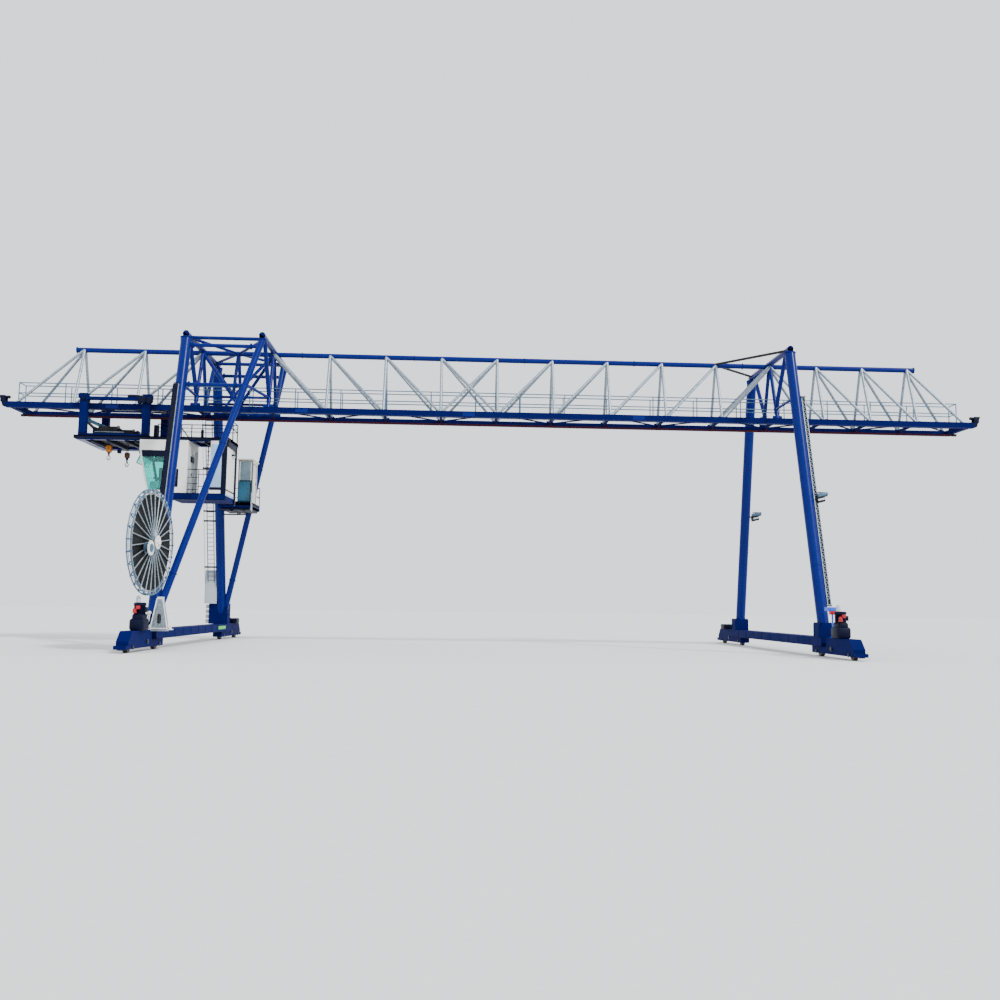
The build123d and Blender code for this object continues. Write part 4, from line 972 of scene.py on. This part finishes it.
# %% Gear motor and slip rings on the shaft's end
big, small = REEL + REEL_ACROSS * -0.5, REEL + REEL_ACROSS * -0.22
big.z, small.z = REEL.z - 0.15, REEL.z - 0.2
housing = [(0, 0.108), (0.09, 0.108), (0.09, 0.15), (0.15, 0.152), (0.15, 0.168), (0.13, 0.172), (0, 0.172)]
gear = [(0.09, 0.2), (0.15, 0.2), (0.15, 0.225), (0.09, 0.225), (0.09, 0.2)]
cap = [(0.062, 0.17), (0.062, 0.2), (0.05, 0.212), (0, 0.214)]
bm = bmesh.new()
for profile, centre, steps in ((housing, REEL, 32), (gear, big, 32), (cap, REEL, 24)):
    add_turned(bm, profile, centre, REEL_AXIS, steps)
teeth = spaced(0, math.pi / 15, 30)
for middle in around(big + REEL_AXIS * 0.2125, 0.155, teeth, REEL_ACROSS):
    add_tube(bm, middle - REEL_AXIS * 0.011, middle + REEL_AXIS * 0.011, 0.009, 6)
keep("slip_ring_and_gear", bm, "gantry", "white_panel")

motor = [(0, 0.108), (0.128, 0.108), (0.128, 0.118)] + fins(0.12, 7, 0.012, 0.1, 0.118)
motor += [(0.09, 0.205), (0.09, 0.24), (0.05, 0.26), (0, 0.26)]
pump = [(0, 0.112), (0.06, 0.112), (0.065, 0.13), (0.065, 0.2), (0.04, 0.22), (0, 0.22)]
bm = bmesh.new()
add_turned(bm, motor, big, REEL_AXIS, 32)
add_turned(bm, pump, small, REEL_AXIS, 24)
for start, end, radius in ((REEL, big, 0.035), (big, small, 0.03)):
    add_tube(bm, start + REEL_AXIS * 0.13, end + REEL_AXIS * 0.13, radius, 12)
angles = (0.3, 1.3, 2.4, 3.4, 4.5, 5.5)
for centre, along, radius, size in ((big, 0.118, 0.122, 0.009), (REEL, 0.172, 0.1, 0.01)):
    add_bolts(bm, around(centre + REEL_AXIS * along, radius, angles, REEL_ACROSS), REEL_AXIS, size)
keep("reel_gear_motor", bm, "gantry", "aged_zinc")

# %% [markdown]
# ## Things around the left foot
# The cable drops from the reel into a guide, a hollow frame like a letter A with rollers at its
# mouth. Next to it stands a travel drive: a rounded gearbox with a motor upright on it. Both are
# built of a few bevelled blocks and turned pieces, because bevels catch the light as castings do.

# %% Cable guide
GUIDE_X, GUIDE_NEAR = -7.6475, -3.905
bm = bmesh.new()
place = Matrix.Translation((GUIDE_X, GUIDE_NEAR - 0.003, 0.69)) @ Matrix.Diagonal((1, 1, 2.3, 1))
place = place @ turn_to((0, 1, 0))
oval = bmesh.ops.create_circle(bm, cap_ends=False, segments=28, radius=0.052, matrix=place)["verts"]
wall = bmesh.ops.extrude_edge_only(bm, edges=edges_of(oval))["geom"]
bmesh.ops.translate(bm, verts=picked(wall, BMVert), vec=(0, 0.01, 0))
y = GUIDE_NEAR - 0.004
bars = [
    (-7.832, y, 0.47, -7.7075, y, 1.14, 0.012, 6),
    (-7.463, y, 0.47, -7.5875, y, 1.14, 0.012, 6),
    (-7.832, y, 0.478, -7.463, y, 0.478, 0.012, 6),
    (-7.7075, y, 1.132, -7.5875, y, 1.132, 0.012, 6),
    (-7.96, GUIDE_NEAR, 0.45, -7.87, GUIDE_NEAR + 0.02, 0.86, 0.012, 8),
    (-7.89, GUIDE_NEAR, 0.45, -7.85, GUIDE_NEAR + 0.02, 0.86, 0.012, 8),
]
shoes = [(-7.93, GUIDE_NEAR - 0.01, 0.8, -7.83, GUIDE_NEAR + 0.04, 0.85, 0.006)]
for x, lean in ((-7.832, -0.07), (-7.463, 0.07)):
    for y in (GUIDE_NEAR + 0.02, GUIDE_NEAR + 0.13):
        bars.append((x + lean * 0.1, y, 0.56, x + lean, y, 0.452, 0.014, 6))
    low_y, high_y = GUIDE_NEAR - 0.01, GUIDE_NEAR + 0.16
    shoes.append((x + lean * 1.4, low_y, 0.45, x - lean * 0.2, high_y, 0.462, 0.002))
for y in (GUIDE_NEAR + 0.03, GUIDE_NEAR + 0.12):
    bars.append((GUIDE_X - 0.06, y, 1.155, GUIDE_X + 0.06, y, 1.155, 0.018, 16))
add_rows(bm, bars, shoes)
keep("guide_frame", bm, "gantry", "white_panel")
y = GUIDE_NEAR + 0.015
roller = [(GUIDE_X, y, 0.6, GUIDE_X, y, 0.78, 0.04, 16)]
make("guide_inner_roller", "gantry", "dark_steel", roller)

# %% Travel drives
UP = (0, 0, 1)
motor = [(0, 0.78), (0.14, 0.78), (0.14, 0.795)] + fins(0.8, 14, 0.014, 0.115, 0.128)
motor += [(0.13, 1.0), (0.13, 1.03), (0.1, 1.045), (0, 1.045)]
lamp = [(0, 0), (0.05, 0), (0.05, 0.012), (0.042, 0.02), (0.04, 0.09), (0.02, 0.112), (0, 0.112)]
vent = [(0, 0), (0.05, 0), (0.05, 0.1), (0.035, 0.14), (0, 0.15)]
bm, lamps, caps = bmesh.new(), bmesh.new(), bmesh.new()
for x in (-7.881, 7.418):
    y = -4.52
    add_turned(bm, motor, (x, y, 0), UP, 32)
    add_turned(lamps, lamp, (x - 0.06, y - 0.155, 0.82), UP, 24)
    add_turned(caps, vent, (x - 0.04, y, 1.045), UP, 20)
    add_block(lamps, (x - 0.03, y - 0.2, 0.9), (x + 0.05, y - 0.115, 0.98), 0.012)
    stem = (x - 0.08, y - 0.155, 0.69, x - 0.06, y - 0.155, 0.825, 0.016, 10)
    blocks = [
        (x - 0.158, y - 0.21, SILL_TOP, x + 0.158, y + 0.21, 0.7, 0.05),
        (x - 0.12, y - 0.16, 0.66, x + 0.12, y + 0.16, 0.8, 0.04),
        (x + 0.1, y - 0.07, 0.84, x + 0.158, y + 0.07, 0.95, 0.01),
        (x - 0.158, -y - 0.21, SILL_TOP, x + 0.158, -y + 0.21, 0.6, 0.03),
    ]
    add_rows(bm, [stem], blocks)
    for middle_y, z in ((y, 0.69), (-y, 0.6)):
        spots = [(x + dx, middle_y + dy, z) for dx in (-0.11, 0.11) for dy in (-0.165, 0.165)]
        add_bolts(bm, spots, UP, 0.013)
keep("drive_housings", bm, "gantry", "dark_blue_paint", ["drive_units"])
keep("drive_lamps", lamps, "gantry", "red_lens")
keep("drive_vent_caps", caps, "gantry", "pale_plastic")

# %% [markdown]
# ## Sills, bogies and wheels
# The photograph hides the feet behind stacks of slabs, so these follow what rail-mounted cranes
# have: a box sill, a balancer at each end with two flanged wheels, pins with keeper plates, rail
# sweeps and bolted joints between sill and bogie.

# %% Wheels, pins and sill details
half = [(0, 0.062), (0.04, 0.062), (0.04, 0.045), (0.07, 0.04), (0.09, 0.048), (0.114, 0.048)]
tread = mirrored(half)
wheels, plates = [], []
WHEEL_Z = 0.115
pins = bmesh.new()
for foot_x in FEET:
    for sign in BOTH:
        for y in (sign * 3.175, sign * 5.055):
            wheels.append((tread, (foot_x, y, WHEEL_Z), (1, 0, 0), 36))
            for step in BOTH:
                out = foot_x + step * 0.145
                add_tube(pins, (foot_x + step * 0.12, y, WHEEL_Z), (out, y, WHEEL_Z), 0.045, 24)
                spots = around((out, y, WHEEL_Z), 0.03, (0.6, 2.7, 4.8), (0, 1, 0))
                add_bolts(pins, spots, (step, 0, 0), 0.007)
        y = sign * 4.1
        for step in BOTH:
            inner, outer = foot_x + step * 0.128, foot_x + step * 0.15
            add_tube(pins, (inner, y, 0.2), (outer, y, 0.2), 0.055, 28)
            plates.append((outer, y - 0.05, 0.185, outer + step * 0.006, y + 0.05, 0.215, 0.002))
        for y in [sign * FOOT_Y + dy for dy in (-0.18, -0.06, 0.06, 0.18)]:
            add_bolts(pins, [(foot_x - 0.16, y, 0.785), (foot_x + 0.16, y, 0.785)], UP, 0.012)
        y = sign * 5.44
        add_tube(pins, (foot_x - 0.06, y, 0.08), (foot_x + 0.06, y, 0.08), 0.02, 12)
add_rows(pins, blocks=plates)
make("wheel_treads", "gantry", "wheel_steel", turned=wheels, instead_of=["travel_wheels"])
keep("bogie_pins", pins, "gantry", "dark_steel")

ribs = []
for foot_x in FEET:
    for step in BOTH:
        x = foot_x + step * 0.19
        for y in spaced(-2.9, 0.725, 9):
            ribs.append((x, y - 0.005, 0.26, x + step * 0.006, y + 0.005, 0.44))
        for y in (-3.55, -3.2, 3.2, 3.55):
            ribs.append((x, y - 0.006, SILL_TOP, x + step * 0.01, y + 0.006, 0.74))
    for y in (-FOOT_Y, FOOT_Y):
        ribs.append((foot_x - 0.2, y - 0.22, SILL_TOP, foot_x + 0.2, y + 0.22, SILL_TOP + 0.012, 0.002))
# The stiffeners take the darker dusty paint: dust, and painted shade
make("sill_stiffeners", "gantry", "dusty_shaded_blue", blocks=ribs)
marker = [(-7.764, 2.2, 0.31, -7.757, 3.05, 0.4, 0.002)]
make("lime_marker", "gantry", "lime_paint", blocks=marker)

# %% [markdown]
# ## Hook blocks and hooks
# A hook block is two cheek plates with a sheave between them, and a crosshead below that lets the
# hook swivel. The hook itself is forged: thick at the bottom of the bowl, thin at the tip. A swept
# circle whose size changes along a curve gives that shape; a bent pipe of one size would not.

# %% Blocks with cheeks, sheaves and crossheads
HOOKS = {
    "main": {"x": -10.305, "top": 5.142, "low": 4.962, "half": (0.0655, 0.058), "nut": 4.913},
    "aux": {"x": -9.825, "top": 4.967, "low": 4.817, "half": (0.058, 0.05), "nut": 4.758},
}
HOOKS["main"].update(centre=4.816, bowl=0.032, block="orange_paint", hook="hook_steel")
HOOKS["aux"].update(centre=4.641, bowl=0.031, block="brown_paint", hook="dark_hook_steel")
half = [(0, 0.03), (0.052, 0.03), (0.052, 0.022), (0.04, 0.014), (0.04, 0.006)]
groove = [(radius, -along) for radius, along in half] + [(0.052, 0)] + half[::-1]
for name, size in HOOKS.items():
    x, top, low, half_x, half_y = size["x"], size["top"], size["low"], *size["half"]
    blocks = []
    for sign in BOTH:
        y, inner = sign * half_y, sign * (half_y - 0.016)
        blocks += [
            (x - half_x, y, low + 0.012, x + half_x, inner, top - 0.012, 0.005),
            (x - half_x * 0.75, y, top - 0.02, x + half_x * 0.75, inner, top, 0.005),
            (x - half_x * 0.7, y, low, x + half_x * 0.7, sign * (half_y - 0.02), low + 0.03, 0.005),
        ]
        side, y = x + sign * half_x, half_y - 0.01
        blocks.append((side, -y, low + 0.02, side - sign * 0.012, y, low + 0.09, 0.003))
    body, old = f"{name}_hook", [f"{name}_hook_block"]
    make(f"{name}_block_cheeks", body, size["block"], blocks=blocks, instead_of=old)
    bm = bmesh.new()
    middle, drop = (top + low) / 2 + 0.012, low - size["nut"]
    add_turned(bm, groove, (x, 0, middle), (0, 1, 0), 32)
    add_tube(bm, (x, -half_y - 0.008, middle), (x, half_y + 0.008, middle), 0.016, 16)
    add_tube(bm, (x - half_x * 0.8, 0, low + 0.016), (x + half_x * 0.8, 0, low + 0.016), 0.02, 16)
    nut = [(0, drop), (0.03, drop), (0.034, drop - 0.006), (0.034, 0.02)]
    nut += [(0.022, 0.012), (0.022, -0.012), (0, -0.012)]
    add_turned(bm, nut, (x, 0, size["nut"]), UP, 24)
    for sign in BOTH:
        y = sign * half_y
        spots = [(x + dx, y, middle + dz) for dx in (-0.042, 0.042) for dz in (-0.05, 0.05)]
        add_bolts(bm, spots, (0, sign, 0), 0.006)
    keep(f"{name}_sheave", bm, body, "dark_steel")

# %% Forged hooks with their safety latches
for name, size in HOOKS.items():
    x, z, bowl, nut = size["x"], size["centre"], size["bowl"], size["nut"]
    places = [(x, nut + 0.01, 0.019), (x, z + bowl * 2.1, 0.019), (x + bowl * 0.5, z + bowl * 1.6, 0.017)]
    for number in range(13):
        angle = math.radians(58 - number * 21)
        thick = 0.0125 - abs(number - 7) * 0.0006 if number < 11 else 0.0095
        reach = bowl + thick
        places.append((x + reach * math.cos(angle), z + reach * math.sin(angle), thick))
    places.append((x - bowl * 1.62, z + bowl * 0.75, 0.0065))
    bm = bmesh.new()
    for (x0, z0, r0), (x1, z1, r1) in zip(places, places[1:]):
        add_tube(bm, (x0, 0, z0), (x1, 0, z1), r0, 14, r1)
        add_ball(bm, (x1, 0, z1), r1, 2)
    keep(f"{name}_forged_hook", bm, f"{name}_hook", size["hook"], [f"{name}_hook"])
    pin_x, pin_z = x - 0.004, z + bowl * 1.75
    tip_x, tip_z = x - bowl * 1.45, z + bowl * 0.72
    latch = [(pin_x, y, pin_z, tip_x, y, tip_z, 0.003, 6) for y in (-0.014, 0.014)]
    latch.append((pin_x, -0.02, pin_z, pin_x, 0.02, pin_z, 0.005, 10))
    make(f"{name}_hook_latch", f"{name}_hook", "dark_steel", latch)

# %% [markdown]
# ## Rope falls
# Each hook hangs on two falls of steel rope, and these have to get longer as it goes down. Parenting
# a rope to the hook would drag its top off the drum, so the ropes ride on no body; their place is
# baked into the mesh.

# %% Ropes between the drums and the hook blocks
for name, (_, _, drum_z, _) in DRUMS.items():
    x, top = HOOKS[name]["x"], HOOKS[name]["top"]
    bm = bmesh.new()
    for y in (-0.05, 0.05):
        add_tube(bm, (x, y, top), (x, y, drum_z), 0.008, 12)
    falls = keep(f"{name}_rope_falls", bm, None, "dark_steel", [f"{name}_ropes"])
    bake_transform(falls)

# %% [markdown]
# ## Ladder, landing and booth
# The ladder climbs the far leg inside safety brackets and ends at a landing with a small sheet-metal
# booth. Rungs are 125 mm apart on this model, so the ladder also tells the eye how big it all is.


# %% Ladder on the far left leg
def ladder_y(z):
    """How far out the far left leg is at a height."""
    return leg_at("left", 1, z).y


STILES = (-8.325, -8.14)
tubes = [(x, ladder_y(1.04) - 0.02, 1.04, x, ladder_y(6.7) - 0.02, 6.7, 0.0125, 10) for x in STILES]
for z in spaced(1.1, 0.122, 46):
    y = ladder_y(z) - 0.02
    tubes.append((STILES[0], y, z, STILES[1], y, z, 0.0085, 8))
tubes.append((-8.404, ladder_y(1.04) - 0.05, 1.04, -8.404, ladder_y(6.4) - 0.05, 6.4, 0.006, 6))
brackets = []
for z in (1.08, 2.09, 3.41, 3.69, 4.9, 6.1):
    y = ladder_y(z)
    brackets.append((-8.42, y - 0.06, z - 0.024, -8.08, y - 0.035, z + 0.024, 0.002))
    brackets.append((-8.09, y - 0.03, z - 0.02, -8.05, y + 0.06, z + 0.02, 0.002))
make("ladder_tubes", "gantry", "aged_zinc", tubes, instead_of=["left_ladder"])
make("ladder_brackets", "gantry", "dark_steel", blocks=brackets)
y = ladder_y(1.5)
stiles = [(x, y - 0.07, 1.034, x, y - 0.07, 2.004, 0.008, 8) for x in (-8.4, -8.07)]
gate = [(-8.41, y - 0.065, 1.034, -8.06, y - 0.055, 2.004, 0.003)]
y = ladder_y(0.7)
for z in spaced(0.47, 0.14, 4):
    gate.append((-8.415, y - 0.05, z, -8.277, y, z + 0.11, 0.02))
make("ladder_gate", "gantry", "pale_plastic", stiles, gate)

# %% Landing, booth trim and light post
LANDING, NEAR_Y, FAR_Y, OUT_X = 3.825, 1.262, 2.588, -6.84
posts = ((OUT_X, NEAR_Y), (OUT_X, FAR_Y), (-7.69, FAR_Y), (-7.3, FAR_Y))
tubes = [(x, y, LANDING, x, y, 4.375, 0.011, 10) for x, y in posts]
for z in (4.1, 4.37):
    tubes += [
        (-7.69, FAR_Y, z, OUT_X, FAR_Y, z, 0.01, 10),
        (OUT_X, 2.1, z, OUT_X, FAR_Y, z, 0.01, 10),
        (OUT_X, NEAR_Y, z, OUT_X, 1.37, z, 0.01, 10),
    ]
tubes += [(x, 1.35, 3.67, x, 2.3, 3.67, radius, 16) for x, radius in ((-7.35, 0.08), (-7.0, 0.06))]
edges = [
    (-7.7, 1.25, 3.75, -6.825, 1.256, 3.86),
    (-7.7, 2.594, 3.75, -6.825, 2.6, 3.86),
    (-6.831, 1.25, 3.75, -6.825, 2.6, 3.86),
    (-7.66, 1.32, 3.63, -6.86, 2.5, 3.7, 0.02),
]
for x in spaced(-7.69, 0.0217, 40):
    edges.append((x, 1.26, LANDING, x + 0.006, 2.59, LANDING + 0.006))
pipe = [(-7.83, 2.5, 3.6), (-7.4, 2.5, 3.6), (-7.2, 2.5, 3.61), (-7.14, 2.5, 3.64), (-7.12, 2.5, 3.69)]
make("landing_edges", "gantry", "dark_blue_paint", tubes, edges, sweeps=[(pipe, 0.02, 10)])

frames = [
    (-6.83, 1.46, 4.935, -6.822, 1.96, 4.95, 0.002),
    (-6.826, 1.88, 4.36, -6.815, 1.9, 4.46, 0.003),
]
for z in (4.432, 4.99):
    frames.append((-7.208, 1.37, z, -7.199, 2.09, z + 0.026, 0.002))
    frames.append((-7.205, 1.372, z, -6.825, 1.379, z + 0.026, 0.002))
frames += [(-7.208, y - 0.012, 3.83, -7.199, y + 0.012, 5.02, 0.002) for y in (1.38, 2.08)]
frames += [(x - 0.01, 1.371, 3.83, x + 0.01, 1.38, 5.02, 0.002) for x in (-7.2, -6.83)]
frames += [(-6.83, y - 0.008, 3.86, -6.822, y + 0.008, 4.95, 0.002) for y in (1.46, 1.96)]
make("booth_frames", "gantry", "dark_steel", blocks=frames)
panels = [
    (-7.195, 1.373, 3.835, OUT_X, 1.379, 4.43, 0.002),
    (-7.206, 1.4, 3.835, -7.2, 2.06, 4.43, 0.002),
]
panels += [(-7.195, 1.37, z, OUT_X, 1.374, z + 0.008) for z in (4.03, 4.23)]
make("booth_lower_panels", "gantry", "teal_panel", blocks=panels)
roof = [(-7.215, 1.365, 5.051, -6.815, 2.095, 5.064, 0.003)]
light_post = [
    (-6.83, 1.5, 3.6, -6.83, 1.5, 3.8, 0.015, 8),
    (-6.8, 1.28, 3.62, -6.8, 1.28, 4.1, 0.02, 12),
    (-6.8, 1.28, 3.8, -6.83, 1.28, 3.8, 0.012, 8),
]
make("booth_roof_and_post", "gantry", "pale_plastic", light_post, roof)

# %% [markdown]
# ## Trays, floodlights and end stops
# Cable trays run up the near legs and floodlights look down on the yard. The stops at the chord ends
# are stout plates that carry the rubber buffers.


# %% Cable tray and conduit on the left near leg
def beside_leg(kind, z, dx, dy, sign=-1):
    """A place next to a leg, the near one unless told, shifted along X and Y."""
    return leg_at(kind, sign, z) + Vector((dx, dy, 0))


def add_strip(bm, kind, low_z, high_z, dx, dy, width, depth):
    """A long flat bar that runs up beside a near leg; its width lies along X."""
    start, end = beside_leg(kind, low_z, dx, dy), beside_leg(kind, high_z, dx, dy)
    size = Matrix.Diagonal((width, depth, (end - start).length, 1))
    place = Matrix.Translation((start + end) / 2) @ turn_to(end - start) @ size
    bmesh.ops.create_cube(bm, size=1, matrix=place)


bm = bmesh.new()
add_strip(bm, "left", 2.5, 6.38, -0.07, -0.15, 0.118, 0.03)
add_strip(bm, "left", 2.5, 6.38, -0.134, -0.155, 0.01, 0.055)
for dx in (-0.115, -0.086, -0.057, -0.028):
    add_tube(bm, beside_leg("left", 2.4, dx, -0.168), beside_leg("left", 6.42, dx, -0.168), 0.0115, 8)
for z in spaced(2.6, 0.41, 10):
    middle = beside_leg("left", z, -0.07, -0.176)
    add_block(bm, middle - Vector((0.06, 0.005, 0.014)), middle + Vector((0.058, 0.006, 0.014)))
keep("leg_cable_tray", bm, "gantry", "dark_blue_paint")
bm = bmesh.new()
add_strip(bm, "left", 2.5, 6.38, -0.006, -0.155, 0.012, 0.055)
keep("leg_tray_edges", bm, "gantry", "galvanised")

# %% Tray and floodlights on the right legs
bm = bmesh.new()
for dx in (0.138, 0.222):
    add_strip(bm, "right", 1.2, 6.4, dx, -0.05, 0.014, 0.05)
rungs = [beside_leg("right", 1.3 + n * 0.06, 0.225 if n % 2 else 0.135, -0.06) for n in range(85)]
for start, end in zip(rungs, rungs[1:]):
    add_tube(bm, start, end, 0.008, 6)
keep("right_leg_tray", bm, "gantry", "galvanised")
bm = bmesh.new()
add_strip(bm, "right", 1.2, 6.42, 0.18, -0.035, 0.1, 0.012)
for z in (1.7, 2.9, 4.1, 5.3, 6.2):
    add_block(bm, beside_leg("right", z, 0.1, -0.04), beside_leg("right", z + 0.03, 0.22, -0.02))
for z in (1.16, 6.43):
    low, high = beside_leg("right", z, 0.12, -0.08), beside_leg("right", z + 0.03, 0.24, -0.02)
    add_block(bm, low, high, 0.004)
keep("right_tray_backing", bm, "gantry", "dark_steel")

LAMP_LEAN = Matrix.Rotation(math.radians(-14), 4, "Y")
boxes, lenses, tops = bmesh.new(), bmesh.new(), bmesh.new()
for sign in BOTH:
    base = beside_leg("right", 3.81, 0.31, -0.05 if sign < 0 else 0, sign)
    for bm, low, high, bevel in (
        (boxes, (-0.12, -0.09, -0.13), (0.08, 0.09, 0), 0.02),
        (boxes, (-0.13, -0.1, -0.01), (0.14, 0.1, 0.02), 0.006),
        (lenses, (-0.1, -0.096, -0.075), (0.06, -0.085, -0.035), 0.004),
        (tops, (-0.11, -0.09, 0.02), (0.16, 0.09, 0.11), 0.02),
    ):
        add_block(bm, base + Vector(low), base + Vector(high), bevel, LAMP_LEAN)
    for x in spaced(-0.08, 0.035, 7):
        low, high = base + Vector((x, -0.07, 0.105)), base + Vector((x + 0.008, 0.07, 0.13))
        add_block(tops, low, high, 0.0, LAMP_LEAN)
    add_tube(boxes, base - Vector((0.2, 0, 0.02)), base - Vector((0.09, 0, 0)), 0.018, 10)
keep("floodlights", boxes, "gantry", "dark_steel")
keep("floodlight_tops", tops, "gantry", "aged_zinc")
keep("floodlight_glass", lenses, "gantry", "lamp_glass")

# %% Junction box and stop switch at the right foot
stand = [(7.5, -3.85, SILL_TOP, 7.5, -3.85, 1.05, 0.02, 10)]
box = [
    (7.37, -4.0, 1.05, 7.62, -3.7, 1.14, 0.01),
    (7.44, -3.91, SILL_TOP, 7.56, -3.79, SILL_TOP + 0.012, 0.002),
]
make("foot_junction_box", "gantry", "azure_sheet", stand, box)
# The switch takes the red lamp lens finish, so it glows a little though it is no lamp: a painted glow
switch = [(7.4, -4.01, 0.97, 7.56, -3.88, 1.055, 0.012)]
make("foot_stop_switch", "gantry", "red_lens", blocks=switch)

# %% Stout plates of the end stops
bm = bmesh.new()
for end in BOTH:
    for sign in BOTH:
        for y in (sign * 0.535, sign * 0.685):
            add_block(bm, (end * 12.75, y - 0.007, 6.13), (end * 12.88, y + 0.007, 6.3), 0.003)
        add_block(bm, (end * 12.75, sign * 0.54, 6.12), (end * 12.79, sign * 0.68, 6.16), 0.004)
        spots = [(end * 12.745, sign * y, 6.15) for y in (0.56, 0.66)]
        add_bolts(bm, spots, (-end, 0, 0), 0.01)
keep("stop_plates", bm, "gantry", "dark_blue_paint")
caps = [(x, 0.3, 5.936, x + 0.125, 0.36, 6.0, 0.004) for x in (-12.775, 12.65)]
make("conductor_end_caps", "gantry", "black_rubber", blocks=caps)

# %% [markdown]
# ## Camera and studio
# The camera stands where the photographer stood: slightly right of the left support and low, about
# as high as a person's chest. Its lens and tilt were fitted to the picture. A plain pale floor and
# soft light replace the yard.

# %% Camera
eye = Vector((-0.7326 * PANEL + MID_NODE, -17.3498 * PANEL, 0.4072 * PANEL + SILL_TOP))
yaw, pitch, roll = 0.047, 0.1081, 0.013
ahead = Vector((math.sin(yaw) * math.cos(pitch), math.cos(yaw) * math.cos(pitch), math.sin(pitch)))
level = Vector((math.cos(yaw), -math.sin(yaw), 0))
upward = level.cross(ahead)
right = level * math.cos(roll) + upward * math.sin(roll)
upright = upward * math.cos(roll) - level * math.sin(roll)
camera = bpy.data.objects.new("camera", bpy.data.cameras.new("camera"))
camera.data.sensor_width = 36
camera.data.lens = 35.28
camera.data.clip_end = 500
camera.matrix_world = Matrix.Translation(eye) @ Matrix((right, upright, -ahead)).transposed().to_4x4()
bpy.context.scene.collection.objects.link(camera)
bpy.context.scene.camera = camera
print("camera at", [round(v, 3) for v in eye])

# %% Floor and backdrop light
bm = bmesh.new()
bmesh.ops.create_grid(bm, x_segments=1, y_segments=1, size=150)
floor_mesh = bpy.data.meshes.new("studio_floor")
bm.to_mesh(floor_mesh)
bm.free()
floor = bpy.data.objects.new("studio_floor", floor_mesh)
floor_mesh.materials.append(finishes["floor_paint"])
bpy.context.scene.collection.objects.link(floor)

world = bpy.data.worlds.new("studio")
bpy.context.scene.world = world
world.use_nodes = True
world.node_tree.nodes["Background"].inputs["Color"].default_value = colour("#EEF3FA")
world.node_tree.nodes["Background"].inputs["Strength"].default_value = 1.7
sun = bpy.data.objects.new("key_light", bpy.data.lights.new("key_light", "SUN"))
sun.data.energy = 3.6
sun.data.angle = math.radians(6)
sun.rotation_euler = (math.radians(50), 0, math.radians(47))
bpy.context.scene.collection.objects.link(sun)

# %% Sizes and finish
largest = max(counts, key=counts.get)
print(sum(counts.values()), "triangles in", len(counts), "pieces; the largest is", largest)
